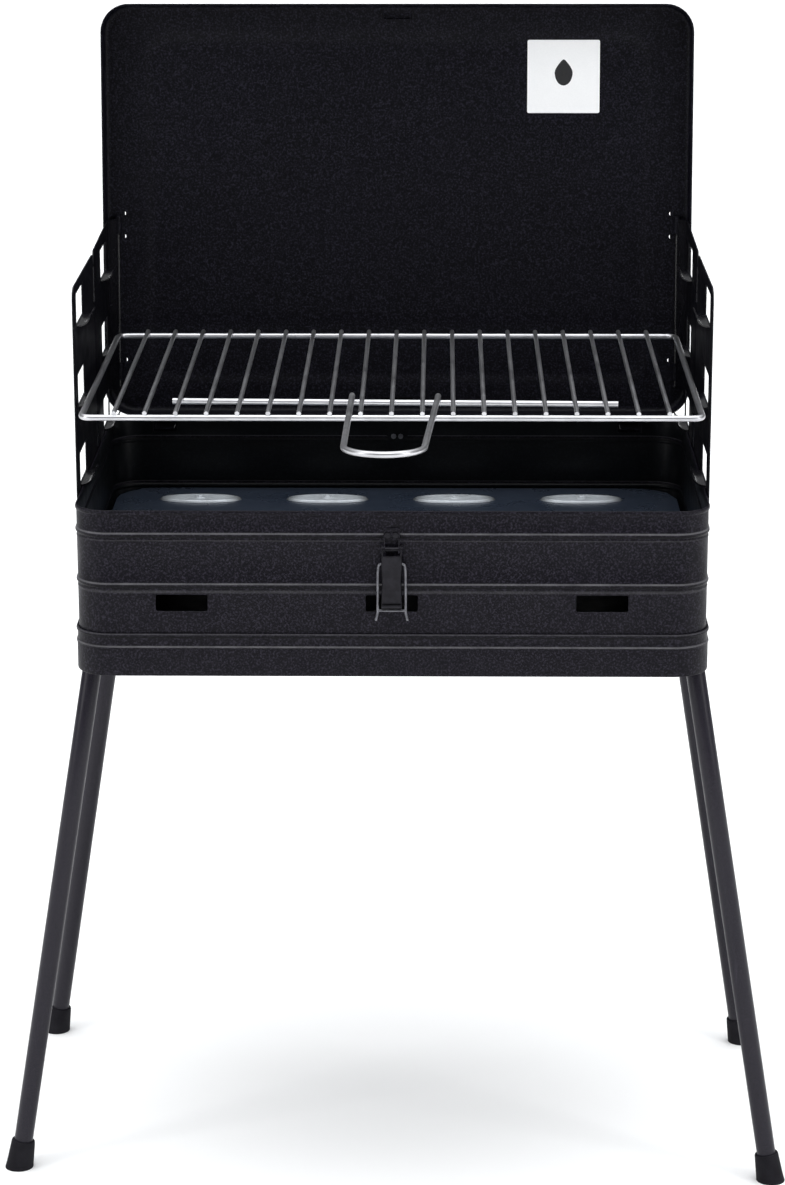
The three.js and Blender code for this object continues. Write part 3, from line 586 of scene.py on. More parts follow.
# A darker copy of the case coat for the faces inside the case: its dark colour is painted shade, its glossier
# finish is the coat's own.
shaded_inner_paint = powder_coat(
    "shaded_inner_powder_coat", (0.0008, 0.0011, 0.0018), (0.006, 0.007, 0.009), 0.38, 0.2, 0.02,
)
leaf_paint = powder_coat("leaf_powder_coat", (0.0012, 0.0012, 0.0022), (0.009, 0.0085, 0.012), 0.44, 0.1)
leaf_gloss = powder_coat(
    "leaf_gloss_coat", (0.0016, 0.0015, 0.0026), (0.009, 0.0085, 0.012), 0.24, 0.6, 0.02,
)
lid_paint = powder_coat(
    "lid_powder_coat", (0.001, 0.001, 0.0024), (0.0165, 0.0155, 0.0245), 0.46, 0.1, 0.07,
)
leg_paint = tube_paint("leg_paint", (0.0085, 0.0072, 0.0125), (0.02, 0.0175, 0.0265), 0.36, 0.26)
chrome = bright_wire("chrome_wire", (0.6, 0.6, 0.62), 0.33)
zinc = plated("dark_zinc", (0.16, 0.16, 0.17), 0.42)
latch_black = plated("blackened_steel", (0.012, 0.0115, 0.014), 0.36)
latch_wire = plated("latch_wire_steel", (0.1, 0.1, 0.11), 0.34)
enamel = vitreous("tray_enamel", (0.02, 0.027, 0.042), (0.027, 0.035, 0.052))
pressed = bare_metal("pressed_disc", (0.62, 0.66, 0.7), 0.42)
rubber = moulded("foot_rubber", (0.007, 0.0065, 0.009), (0.013, 0.0125, 0.016))
film = printed("label_film", (0.97, 0.975, 0.98), (0.94, 0.945, 0.95))
ink = printed("label_ink", (0.012, 0.012, 0.013), (0.018, 0.018, 0.02))

# ---- camera, light and floor ----


def add_camera():
    data = bpy.data.cameras.new("camera")
    data.sensor_width = 36
    data.lens = 104.0
    data.clip_start = 0.05
    camera = bpy.data.objects.new("camera", data)
    scene.collection.objects.link(camera)
    yaw, pitch, roll = -0.0141, 0.2718, -0.0015
    ahead = Vector((math.sin(yaw) * math.cos(pitch), math.cos(yaw) * math.cos(pitch), -math.sin(pitch)))
    level = Vector((math.cos(yaw), -math.sin(yaw), 0))
    upward = level.cross(ahead)
    right = level * math.cos(roll) + upward * math.sin(roll)
    up = upward * math.cos(roll) - level * math.sin(roll)
    turn = Matrix((right, up, -ahead)).transposed()
    camera.matrix_world = Matrix.Translation((0.0305, -2.2202, 1.012)) @ turn.to_4x4()
    scene.camera = camera


def add_light(name, place, aim, size, power):
    data = bpy.data.lights.new(name, "AREA")
    data.shape = "RECTANGLE"
    data.size, data.size_y = size
    data.energy = power
    lamp = bpy.data.objects.new(name, data)
    scene.collection.objects.link(lamp)
    lamp.location = place
    lamp.rotation_euler = (Vector(aim) - Vector(place)).to_track_quat("-Z", "Y").to_euler()


def add_studio():
    world = bpy.data.worlds.new("studio")
    scene.world = world
    world.use_nodes = True
    nodes, links = world.node_tree.nodes, world.node_tree.links
    backdrop = nodes["Background"]
    backdrop.inputs["Color"].default_value = (1, 1, 1, 1)
    backdrop.inputs["Strength"].default_value = 1.02
    ambient = nodes.new("ShaderNodeBackground")
    ambient.inputs["Color"].default_value = (0.97, 0.985, 1, 1)
    height = nodes.new("ShaderNodeSeparateXYZ")
    links.new(nodes.new("ShaderNodeTexCoord").outputs["Generated"], height.inputs["Vector"])
    lobe, dome = nodes.new("ShaderNodeMath"), nodes.new("ShaderNodeMath")
    lobe.operation, dome.operation = "POWER", "MULTIPLY_ADD"
    lobe.use_clamp = True
    links.new(height.outputs["Z"], lobe.inputs[0])
    lobe.inputs[1].default_value = 5
    links.new(lobe.outputs[0], dome.inputs[0])
    dome.inputs[1].default_value = 4.6
    dome.inputs[2].default_value = 0.17
    links.new(dome.outputs[0], ambient.inputs["Strength"])
    seen = nodes.new("ShaderNodeLightPath")
    choose = nodes.new("ShaderNodeMixShader")
    links.new(seen.outputs["Is Camera Ray"], choose.inputs["Fac"])
    links.new(ambient.outputs["Background"], choose.inputs[1])
    links.new(backdrop.outputs["Background"], choose.inputs[2])
    links.new(choose.outputs["Shader"], nodes["World Output"].inputs["Surface"])
    floor_mesh = bpy.data.meshes.new("floor")
    work = bmesh.new()
    bmesh.ops.create_grid(work, x_segments=1, y_segments=1, size=30)
    work.to_mesh(floor_mesh)
    work.free()
    floor = bpy.data.objects.new("floor", floor_mesh)
    scene.collection.objects.link(floor)
    pale = Finish("pale_floor", 0.9, specular=0.1)
    pale.colour(pale.blend(pale.noise(3, 2.0), (0.93, 0.93, 0.93), (0.95, 0.95, 0.95)))
    floor_mesh.materials.append(pale.material)
    for name, x in (("left", -2.0), ("right", 2.0)):
        add_light(name, (x, -1.2, 1.3), (0, 0, 0.45), (0.5, 1.6), 14)
    scene.view_settings.view_transform = "Standard"


add_camera()
add_studio()

# ---- case ----


BEAD_SECTION = (
    (-3.0, 0.0), (-2.2, 0.18), (-1.5, 0.2), (-0.9, -0.2), (-0.2, -0.25), (0.5, -0.1), (0.9, 0.5),
    (1.5, 0.82), (2.5, 0.9), (3.1, 0.75), (3.6, 0.2), (4.1, 0.0),
)


def case_profile(point):
    """Outer skin from the floor up to the hem, then the inner skin back down."""
    at_latch = abs(abs(point.y) - CASE_HALF[1]) < 0.01
    lapse = min(max((abs(point.x) - BEAD_BREAK + 1.2) / 2.4, 0), 1) if at_latch else 1.0
    outer = [(0, CASE_FLOOR + GAP), (0, 402.0)]
    for middle, share in ((BEADS[1], 1.0), (BEADS[0], lapse)):
        outer += [(outset * share, middle + rise) for rise, outset in BEAD_SECTION]
    hem = [(0, 469.4), (0.45, 469.8), (0.7, 470.5), (0.7, 471.6), (0.45, 472.4), (-0.05, 472.8)]
    hem += [(-0.45, 472.6), (-0.8, 472.0)]
    inner = [(outset - SHEET, z) for outset, z in reversed(outer)]
    return outer + hem + inner


def vent_cutters():
    parts = []
    outline = rounded_outline(*VENT_HALF, 1.3)
    for side in (-1, 1):
        for x in VENT_XS:
            wall = side * CASE_HALF[1]
            parts.append(prism(outline, -5, 5, lambda u, v, w: (x + u, wall + w, VENT_Z + v)))
    for hand in (-1, 1):
        slot = rounded_outline(8.5, 4.6, 1)
        x = hand * HOOK_X
        parts.append(prism(slot, -4, 6, lambda u, v, w: (x + u, CASE_HALF[1] + w, 464.6 + v)))
    return merge(parts)


break_xs = [hand * (BEAD_BREAK + step) for hand in (-1, 1) for step in (-1.2, -0.6, 0, 0.6, 1.2)]
case_xs = break_xs + [-150, -100, -50, 50, 100, 150]
case_stations = stations(*CASE_HALF, CASE_CORNER, xs=case_xs, ys=(-80, 0, 80))
case_shell = put(
    "case_shell_skin", swept(case_stations, case_profile), shell_paint, "case", ("case_shell",),
)
carve(case_shell, vent_cutters())
case_shell.data.materials.append(shaded_inner_paint)
# Faces inside the case below the hem take the darker coat as painted shade.
for polygon in case_shell.data.polygons:
    spot = polygon.center * 1000 - Vector((0, SHIFT_Y, 0))
    corner = Vector((abs(spot.x) - CASE_HALF[0] + CASE_CORNER, abs(spot.y) - CASE_HALF[1] + CASE_CORNER))
    if corner.x > 0 and corner.y > 0:
        depth = CASE_CORNER - corner.length
    else:
        depth = CASE_CORNER - max(corner)
    if depth > SHEET * 0.6 and spot.z < 469:
        polygon.material_index = 1
soften(case_shell, 0.3, 62)


def pan_profile(_):
    outer = [(-0.2, SKIRT_BOTTOM), (0.15, 362.3), (0.3, 363.1), (0.3, 364.2), (0.3, 380.3), (0.75, 380.8)]
    outer += [(0.8, 381.3), (0.6, 381.9), (0.0, 382.4), (-0.1, 383.5), (-0.1, 387.6), (0.1, 388.3)]
    lip = [(0.65, 388.7), (0.8, 389.4), (0.7, 390.0), (0.3, 390.6), (-0.3, SKIRT_TOP)]
    lip.append((-SHEET, SKIRT_TOP - 0.3))
    inner = [(-SHEET, 380), (-SHEET, 364), (-0.6, 362.2)]
    return outer + lip + inner


def pan_floor():
    loops = []
    for inset, z in ((0.5, 384.2), (0.5, 384.9), (3, 385.0), (3, 385.0), (30, 385.0)):
        half = (CASE_HALF[0] + SKIRT_OUTSET - inset, CASE_HALF[1] + SKIRT_OUTSET - inset)
        corner = max(CASE_CORNER + SKIRT_OUTSET - inset, 2)
        loops.append([p + Vector((0, 0, z)) for p, _ in stations(*half, corner, 8)])
    low = [p - Vector((0, 0, SHEET)) for p in loops[0]]
    return lofted([low] + loops)


skirt = stations(
    CASE_HALF[0] + SKIRT_OUTSET, CASE_HALF[1] + SKIRT_OUTSET, CASE_CORNER + SKIRT_OUTSET,
    xs=(-120, -60, 0, 60, 120), ys=(-60, 0, 60),
)
pan = merge([swept(skirt, pan_profile), pan_floor()])
put("base_pan_skin", pan, pan_paint, "case", ("base_pan",))

# ---- charcoal tray ----

DISC_HUB = ((2.0, 0.6), (2.0, 2.0), (2.3, 2.5), (2.9, 2.7), (3.6, 2.5), (4.6, 1.75))
DISC_PROFILE = (
    (0.45, 1.7), (0.58, 1.75), (0.7, 1.85), (0.8, 1.95), (0.87, 2.0), (0.92, 1.8), (0.95, 1.2), (0.975, 0.5),
    (1.0, 0.1), (1.06, 0.0),
)


def tray_top():
    """Cells round each pressed disc, then a border out to the rounded edge."""
    vertices, faces = [], []
    columns, rows = DISC_GRID
    x_lines = [DISC_SHIFT + DISC_PITCH[0] * (k - columns / 2) for k in range(columns + 1)]
    y_lines = [DISC_PITCH[1] * (k - rows / 2) for k in range(rows + 1)]
    steps = 12

    def grow(loops):
        base = len(vertices)
        count = len(loops[0])
        for loop in loops:
            vertices.extend(loop)
        for row in range(len(loops) - 1):
            for i in range(count):
                j = (i + 1) % count
                low, high = base + row * count, base + (row + 1) * count
                faces.append([low + i, low + j, high + j, high + i])

    def along(lines):
        return [a + (b - a) * k / steps for a, b in zip(lines, lines[1:]) for k in range(steps)]

    def walk_round(xs, ys):
        """Points round the outside of a grid of lines, from its low corner."""
        points = [(x, ys[0]) for x in along(xs)] + [(xs[-1], y) for y in along(ys)]
        return points + [(x, ys[-1]) for x in along(xs[::-1])] + [(xs[0], y) for y in along(ys[::-1])]

    for column in range(columns):
        for row in range(rows):
            xs, ys = x_lines[column:column + 2], y_lines[row:row + 2]
            middle = Vector((sum(xs) / 2, sum(ys) / 2, 0))
            edge = walk_round(xs, ys)
            spokes = []
            for x, y in edge:
                angle = math.atan2((y - middle.y) / DISC_PITCH[1], (x - middle.x) / DISC_PITCH[0])
                spokes.append(Vector((DISC_HALF[0] * math.cos(angle), DISC_HALF[1] * math.sin(angle), 0)))
            loops = []
            for radius, rise in DISC_HUB:
                lift = Vector((0, 0, TRAY_TOP + rise))
                loops.append([middle + spoke.normalized() * radius + lift for spoke in spokes])
            for share, rise in DISC_PROFILE:
                loops.append([middle + spoke * share + Vector((0, 0, TRAY_TOP + rise)) for spoke in spokes])
            loops.append([Vector((x, y, TRAY_TOP)) for x, y in edge])
            grow(loops)

    def outward(x, y):
        corner_x = TRAY_HALF[0] - TRAY_CORNER
        corner_y = TRAY_HALF[1] - TRAY_CORNER
        if x in (x_lines[0], x_lines[-1]) and abs(y) < corner_y:
            return Vector((math.copysign(TRAY_HALF[0], x), y, 0))
        if y in (y_lines[0], y_lines[-1]) and abs(x) < corner_x:
            return Vector((x, math.copysign(TRAY_HALF[1], y), 0))
        core = Vector((math.copysign(corner_x, x), math.copysign(corner_y, y), 0))
        return core + (Vector((x, y, 0)) - core).normalized() * TRAY_CORNER

    border = walk_round(x_lines, y_lines)
    inner = [Vector((x, y, TRAY_TOP)) for x, y in border]
    outer = [outward(x, y) for x, y in border]
    grow([
        inner,
        [Vector((*point.xy.lerp(out.xy, 0.85), TRAY_TOP)) for point, out in zip(inner, outer)],
        [Vector((out.x, out.y, TRAY_TOP - 0.25)) for out in outer],
        [Vector((out.x, out.y, TRAY_TOP - 2.2)) for out in outer],
    ])
    return vertices, faces


def tray_flanges():
    half = TRAY_HALF[1] - TRAY_CORNER
    parts = []
    for hand in (-1, 1):
        x = sorted((hand * (TRAY_HALF[0] - 0.2), hand * (TRAY_HALF[0] - 0.9)))
        parts.append(slab((x[0], -half, CASE_FLOOR + GAP), (x[1], half, TRAY_TOP - 0.6)))
    return merge(parts)


tray = put(
    "charcoal_tray_sheet", tray_top(), enamel, "charcoal_tray", ("charcoal_tray",),
    solid=0.7, angle=60,
)
tray.data.materials.append(pressed)


def disc_share(spot):
    """How far a point lies from the middle of its disc, as shares of the disc's half sizes."""
    spot = spot * 1000 - Vector((DISC_SHIFT, SHIFT_Y, 0))
    along = spot.x / DISC_PITCH[0] + DISC_GRID[0] / 2
    across = spot.y / DISC_PITCH[1] + DISC_GRID[1] / 2
    if not (0 < along < DISC_GRID[0] and 0 < across < DISC_GRID[1]):
        return (2.0, 2.0)
    x = (along % 1 - 0.5) * DISC_PITCH[0] / DISC_HALF[0]
    y = (across % 1 - 0.5) * DISC_PITCH[1] / DISC_HALF[1]
    return (x, y)


# Painted sheen on each disc: 1 across its middle, falling to 0 towards its left and right ends.
painted_disc_sheen = tray.data.attributes.new("painted_disc_sheen", "FLOAT", "POINT")
for vertex, target in zip(tray.data.vertices, painted_disc_sheen.data):
    x, y = disc_share(vertex.co)
    target.value = 1 - min(max((abs(x) - 0.55) / 0.4, 0), 1) ** 1.5
for polygon in tray.data.polygons:
    if math.hypot(*disc_share(polygon.center)) < 0.98:
        polygon.material_index = 1
put("charcoal_tray_flanges", tray_flanges(), enamel, "charcoal_tray", bevel=0.2)

# ---- legs ----


def make_leg(name, hand, end):
    pivot = Vector((hand * LEG_PIVOT[0], end * LEG_PIVOT[1] - hand * LEG_STAGGER, LEG_PIVOT[2]))
    foot = pivot + Vector((hand * FOOT_OUT[0], end * FOOT_OUT[1], -LEG_PIVOT[2]))
    length = (foot - pivot).length
    up = (pivot - foot).normalized()
    bottom = foot + up * TUBE_CLEAR
    span = length - TUBE_CLEAR + LEG_TAIL
    r = LEG_RADIUS
    tube = turned(bottom, bottom + up, [
        (r - 1, 0.0), (r - 0.3, 0.0), (r, 0.4), (r, 12), (r, span / 3), (r, 2 * span / 3), (r, span - 0.4),
        (r - 0.3, span), (r - 0.85, span), (r - 1.05, span - 0.4), (r - 1.05, span - 40),
    ], 40)
    body = f"{name}_leg"
    put(f"{name}_leg_tube", tube, leg_paint, body, (f"{name}_leg",), angle=50)
    start = foot - up * 6
    cap = turned(start, start + up, [
        (9.9, 0.0), (9.85, 4.0), (9.35, 7.5), (9.2, 8.5), (8.35, 20.5), (8.05, 24.6), (7.7, 25.5),
        (7.0, 25.85), (6.6, 25.5), (6.6, 10),
    ], 40)
    rubber_foot = put(f"{name}_foot_cap", cap, rubber, body, (f"{name}_foot",), angle=40)
    work = bmesh.new()
    work.from_mesh(rubber_foot.data)
    everything = work.verts[:] + work.edges[:] + work.faces[:]
    cut_result = bmesh.ops.bisect_plane(
        work, geom=everything, plane_co=(0, 0, 0.0001), plane_no=(0, 0, -1), clear_outer=True,
    )
    rim = [item for item in cut_result["geom_cut"] if isinstance(item, bmesh.types.BMEdge)]
    bmesh.ops.edgeloop_fill(work, edges=rim)
    bmesh.ops.recalc_face_normals(work, faces=work.faces)
    work.to_mesh(rubber_foot.data)
    work.free()
    smooth(rubber_foot.data, 40)
    dress(f"{name}_leg_pin", zinc, 0.3)
    dress(f"{name}_leg_bracket", zinc, 0.25)
    for index in (1, 2):
        dress(f"{name}_bracket_rivet_{index}", zinc, 0.3)


for side_word, end_sign in (("front", -1), ("rear", 1)):
    for hand_word, hand_sign in (("left", -1), ("right", 1)):
        make_leg(f"{side_word}_{hand_word}", hand_sign, end_sign)

# ---- lid ----


def on_lid(x, h, n):
    """A point on the standing lid: across, up its plate, and out of the plate's face."""
    sin, cos = math.sin(LID_LEAN), math.cos(LID_LEAN)
    return Vector((x, LID_FOOT[0] + h * sin - n * cos, LID_FOOT[1] + h * cos + n * sin))


def lid_skin():
    middle = LID_LENGTH / 2

    def edge_loop(inset, n):
        places = stations(LID_HALF_X - inset, middle - inset, max(LID_CORNER - inset, 2), 10)
        return [on_lid(p.x, p.y + middle, n) for p, _ in places]

    def boss_loop(grow, n):
        half_x, low, high = 178 + grow, 24 - grow, 269 + grow
        places = stations(half_x, (high - low) / 2, 17 + grow, 10)
        return [on_lid(p.x, p.y + (low + high) / 2, n) for p, _ in places]

    front = [boss_loop(-12, -2), boss_loop(-5, -2), boss_loop(-3.2, -1.8), boss_loop(-0.5, -1)]
    front += [boss_loop(2.2, -0.2), boss_loop(4, 0)]
    bend = 3.6
    dish = 1.2
    rim = [edge_loop(SHEET + bend + 0.4, dish - 0.02)]
    for k in range(6):
        angle = math.pi / 2 * k / 5
        rim.append(edge_loop(SHEET + bend * (1 - math.sin(angle)), dish + bend * (1 - math.cos(angle))))
    rim += [edge_loop(SHEET, 12), edge_loop(SHEET, 19), edge_loop(1.5, 19.7), edge_loop(1.5, 21.4)]
    rim += [edge_loop(1.1, 21.9), edge_loop(0.4, 21.9), edge_loop(0, 21.4), edge_loop(0, 12)]
    outer = bend + SHEET
    for k in range(6):
        angle = math.pi / 2 * (1 - k / 5)
        rise = outer * (1 - math.cos(angle)) - SHEET + dish * 0.5
        rim.append(edge_loop(outer * (1 - math.sin(angle)), rise))
    back = [boss_loop(2.2, -SHEET), boss_loop(0.9, -1.2), boss_loop(-0.3, -2.5)]
    back += [boss_loop(-1.6, -2.8), boss_loop(-12, -2.8)]
    return lofted(front + rim + back)


def lid_cutters():
    parts = []
    for x, height in LOOPS:
        parts.append(prism(rounded_outline(2.5, 9.5, 2.4, (x, height)), -4, 0.6, on_lid))
    for height in CATCH_HEIGHTS:
        parts.append(prism(rounded_outline(11.5, 2.2, 1, (0, height)), -4, 2, on_lid))
    return merge(parts)


def loop_mouths():
    """The open ends of the slot under each loop, wider towards the middle of the lid."""
    parts = []
    for x, height in LOOPS:
        for end in (-1, 1):
            middle = (x - math.copysign(2.2, x), height + end * 8.2)
            parts.append(prism(rounded_outline(3.6, 1.4, 1.2, middle), -4.1, 0.7, on_lid))
    return merge(parts)


def strap(x, height):
    """A strip pushed out of the lid round the panel's rolled edge."""
    outline = arc((0, 2.1), 2.9, 0, 180, 12) + [(-2.9, -0.8), (-1.9, -0.8)]
    outline += arc((0, 2.1), 1.9, 180, 0, 12) + [(1.9, -0.8), (2.9, -0.8)]
    return prism(outline, -6.5, 6.5, lambda u, v, w: on_lid(x + u, height + w, v))


def lid_straps():
    parts = [strap(x, height) for x, height in LOOPS]
    for height in CATCH_HEIGHTS:
        bridge = [(-12.5, -0.3), (-11, -0.8), (-9, -3.2), (9, -3.2), (11, -0.8), (12.5, -0.3)]
        outline = bridge + [(u, v + 0.7) for u, v in reversed(bridge)]
        parts.append(prism(outline, -2.9, 2.9, lambda u, v, w: on_lid(u, height + w, v)))
    for hand in (-1, 1):
        x = hand * HOOK_X
        back = LID_FOOT[0]
        tongue = [(back - 17.5, 464), (back - 16.7, 463.6), (back - 0.4, 463.6), (back - 0.4, 464.6)]
        tongue.append((back - 16.7, 464.6))
        parts.append(prism(tongue, -7, 7, lambda u, v, w: Vector((x + w, u, v))))
        parts.append(slab((x - 9.5, back - 0.4, 457.4), (x + 9.5, back + 0.6, 473.9)))
    return merge(parts)


lid_piece = put("lid_skin", lid_skin(), lid_paint, "lid", ("lid_shell",), angle=40)
carve(lid_piece, lid_cutters(), 40)
carve(lid_piece, loop_mouths(), 40)
put("lid_straps", lid_straps(), lid_paint, "lid", bevel=0.2)


def flame_outline():
    """A plain flame drop, standing for the printed mark."""
    points = []
    for k in range(40):
        angle = 2 * math.pi * k / 40
        taper = 1 - 0.55 * max(math.sin(angle), 0) ** 1.5
        points.append((118.4 + 6.4 * math.cos(angle) * taper, 243.2 + 9.2 * math.sin(angle)))
    return points


label = prism(rounded_outline(LABEL_HALF, LABEL_HALF, 1.2, LABEL_MIDDLE), -1.72, -1.45, on_lid)
put("label_panel", label, film, "lid", ("lid_label",))
put("label_mark", prism(flame_outline(), -1.449, -1.44, on_lid), ink, "lid")

# ---- side panels ----


def leaf_sheet(name, outline, windows, hand):
    """A sheet with windows, cut by Blender's curve filling, standing in the Y-Z plane."""
    curve = bpy.data.curves.new(name, "CURVE")
    curve.dimensions = "2D"
    curve.fill_mode = "BOTH"
    curve.extrude = 0.00036
    curve.bevel_depth = 0.00014
    curve.bevel_resolution = 1
    for points in (outline, *windows):
        spline = curve.splines.new("POLY")
        spline.points.add(len(points) - 1)
        for target, (y, z) in zip(spline.points, points):
            target.co = (y / 1000, z / 1000, 0, 1)
        spline.use_cyclic_u = True
    holder = bpy.data.objects.new(name, curve)
    scene.collection.objects.link(holder)
    bpy.context.view_layer.update()
    mesh = bpy.data.meshes.new_from_object(holder.evaluated_get(bpy.context.evaluated_depsgraph_get()))
    spots = [vertex.co * 1000 for vertex in mesh.vertices]
    vertices = [Vector((hand * (LEAF_X + 0.5 + spot.z), spot.x, spot.y)) for spot in spots]
    faces = [list(polygon.vertices) for polygon in mesh.polygons]
    bpy.data.objects.remove(holder)
    bpy.data.curves.remove(curve)
    bpy.data.meshes.remove(mesh)
    return vertices, faces


def rounded_polygon(corners, radius, steps=4):
    """Rounds every corner of an outline; radius may be one number or one for each corner."""
    result = []
    count = len(corners)
    for i, corner in enumerate(corners):
        size = radius[i] if isinstance(radius, (list, tuple)) else radius
        here = Vector(corner)
        before, after = Vector(corners[i - 1]), Vector(corners[(i + 1) % count])
        start = here.lerp(before, min(size / (here - before).length, 0.45))
        stop = here.lerp(after, min(size / (here - after).length, 0.45))
        for k in range(steps + 1):
            t = k / steps
            result.append(tuple(start.lerp(here, t).lerp(here.lerp(stop, t), t)))
    return result


def slot_windows(middle):
    half = TAB_LENGTH / 2 + 1
    windows = []
    for level in TAB_LEVELS:
        windows.append(rounded_polygon([
            (middle - half, level + 1), (middle + half, level + 1),
            (middle + half, level + SLOT_HEIGHT), (middle - half, level + SLOT_HEIGHT),
        ], 1.6))
    return windows


def curled_tabs(middle, hand):
    parts = []
    for level in TAB_LEVELS:
        steps = 10
        below, above = [], []
        for k in range(steps + 1):
            angle = math.pi / 2 * k / steps
            sin, fall = math.sin(angle), 1 - math.cos(angle)
            below.append((LEAF_X - TAB_REACH * sin, level + TAB_UP * fall))
            above.append((LEAF_X - (TAB_REACH - 1) * sin, level + 1 + (TAB_UP - 1) * fall))
        outline = below + list(reversed(above)) + [(LEAF_X + 0.6, level + 1), (LEAF_X + 0.6, level)]
        half = TAB_LENGTH / 2
        parts.append(prism(outline, -half, half, lambda u, v, w: Vector((hand * u, middle + w, v))))
    return parts


def knuckle(low, high, hand):
    return turned((hand * HINGE_X, HINGE_Y, low), (hand * HINGE_X, HINGE_Y, high), [
        (1.5, 0.3), (1.6, 0.0), (2.3, 0.0), (2.5, 0.25), (2.5, high - low - 0.25), (2.3, high - low),
        (1.6, high - low), (1.5, high - low - 0.3),
    ], 24)


def hinge_gaps(inner):
    """Heights left free in a leaf's hinge edge for the other leaf's knuckles."""
    if inner:
        return [(z - 5.8, z + 5.8) for z in KNUCKLE_ZS]
    return [span for z in KNUCKLE_ZS for span in ((z - 12.4, z - 5.5), (z + 5.5, z + 12.4))]


def stepped_edge(edge, notch, gaps):
    """Points up a hinge edge, stepping back to notch at each gap."""
    points = []
    for low, high in gaps:
        points += [(edge, low), (notch, low), (notch, high), (edge, high)]
    return points


def lean_y(z):
    return LID_FOOT[0] + (z - LID_FOOT[1]) * math.tan(LID_LEAN)


def front_leaf(word, hand):
    back = HINGE_Y - 0.4
    outline = [(LEAF_FRONT + 5, LEAF_BOTTOM), (back, LEAF_BOTTOM)]
    outline += stepped_edge(back, HINGE_Y - 3, hinge_gaps(False))
    outline += [(back, LEAF_TOP - 9), (back - 5, LEAF_TOP), (LEAF_FRONT + 8, LEAF_TOP)]
    outline += [(LEAF_FRONT + 2, LEAF_TOP - 2.5), (LEAF_FRONT, LEAF_TOP - 8), (LEAF_FRONT, LEAF_BOTTOM + 5)]
    sheet = leaf_sheet("leaf", rounded_polygon(outline, 0.9, 2), slot_windows(SLOT_YS[0]), hand)
    knuckles = [knuckle(z - 5.5, z + 5.5, hand) for z in KNUCKLE_ZS]
    name = f"{word}_front_panel"
    tabs = merge(curled_tabs(SLOT_YS[0], hand))
    put(f"{name}_sheet", sheet, leaf_paint, name, (name,), angle=30)
    put(f"{name}_tabs", tabs, leaf_gloss, name, bevel=0.15)
    put(f"{name}_knuckles", merge(knuckles), leaf_gloss, name)


def rear_leaf(word, hand):
    front = HINGE_Y + 0.4
    bend_low = LID_FOOT[1] + 19
    top = LEAF_TOP_BACK
    edge = stepped_edge(front, HINGE_Y + 3, hinge_gaps(True))
    outline = [(front, LEAF_BOTTOM)] + edge + [(front, LEAF_TOP - 8), (front + 6, LEAF_TOP + 1)]
    outline += [(lean_y(top) - 17, top), (lean_y(bend_low) - 17, bend_low), (lean_y(bend_low) - 24, bend_low)]
    outline += [(lean_y(LEAF_BOTTOM) - 24, LEAF_BOTTOM)]
    outline.reverse()
    sheet = leaf_sheet("leaf", rounded_polygon(outline, 0.9, 2), slot_windows(SLOT_YS[1]), hand)
    name = f"{word}_rear_panel"
    put(f"{name}_sheet", sheet, leaf_paint, "lid", (name,), angle=30)
    rows = []
    for z in (bend_low, top - 0.5):
        row = []
        for k in range(7):
            t = k / 6
            ease = t * t * (3 - 2 * t)
            x = LEAF_X + 0.5 + (LOOP_X - LEAF_X - 0.3) * ease
            row.append(Vector((hand * x, lean_y(z) - 17.2 + t * 14.2, z)))
        rows.append(row)
    put(f"{name}_web", grid_sheet(rows), leaf_gloss, "lid", solid=1.0, bevel=0.12)
    rod = wire([
        (hand * LOOP_X, lean_y(z) - 2.1, z) for z in (bend_low, bend_low + 60, top - 0.5)
    ], 1.5, 16)
    parts = [rod]
    for z in KNUCKLE_ZS:
        parts += [knuckle(z - 12.1, z - 5.8, hand), knuckle(z + 5.8, z + 12.1, hand)]
    put(f"{name}_knuckles", merge(parts), leaf_gloss, "lid")
    tabs = merge(curled_tabs(SLOT_YS[1], hand))
    put(f"{name}_tabs", tabs, leaf_gloss, "lid", bevel=0.15)


for hand_word, hand_sign in (("left", -1), ("right", 1)):
    front_leaf(hand_word, hand_sign)
    rear_leaf(hand_word, hand_sign)
    dress(f"{hand_word}_panel_pin", latch_black, 0.2)

# ---- grate and handle ----


def grate_wires():
    front, back = GRATE_YS
    half = GRATE_HALF_X
    corners = [(-half, 0, GRATE_Z), (-half, front, GRATE_Z), (half, front, GRATE_Z), (half, back, GRATE_Z)]
    corners += [(-half, back, GRATE_Z), (-half, 0.5, GRATE_Z)]
    path = bent(corners, 8, 8)
    parts = [wire(path[:-1], 2.0, 20, closed=True)]
    z = GRATE_Z + 3.2
    for i in range(CROSS_COUNT):
        x = (i - (CROSS_COUNT - 1) / 2) * CROSS_PITCH
        run = [(x, front - 1, z - 0.2), (x, front + 0.6, z), (x, 0, z)]
        run += [(x, back - 0.6, z), (x, back + 1, z - 0.2)]
        parts.append(wire(run, 1.5, 14))
    return merge(parts)


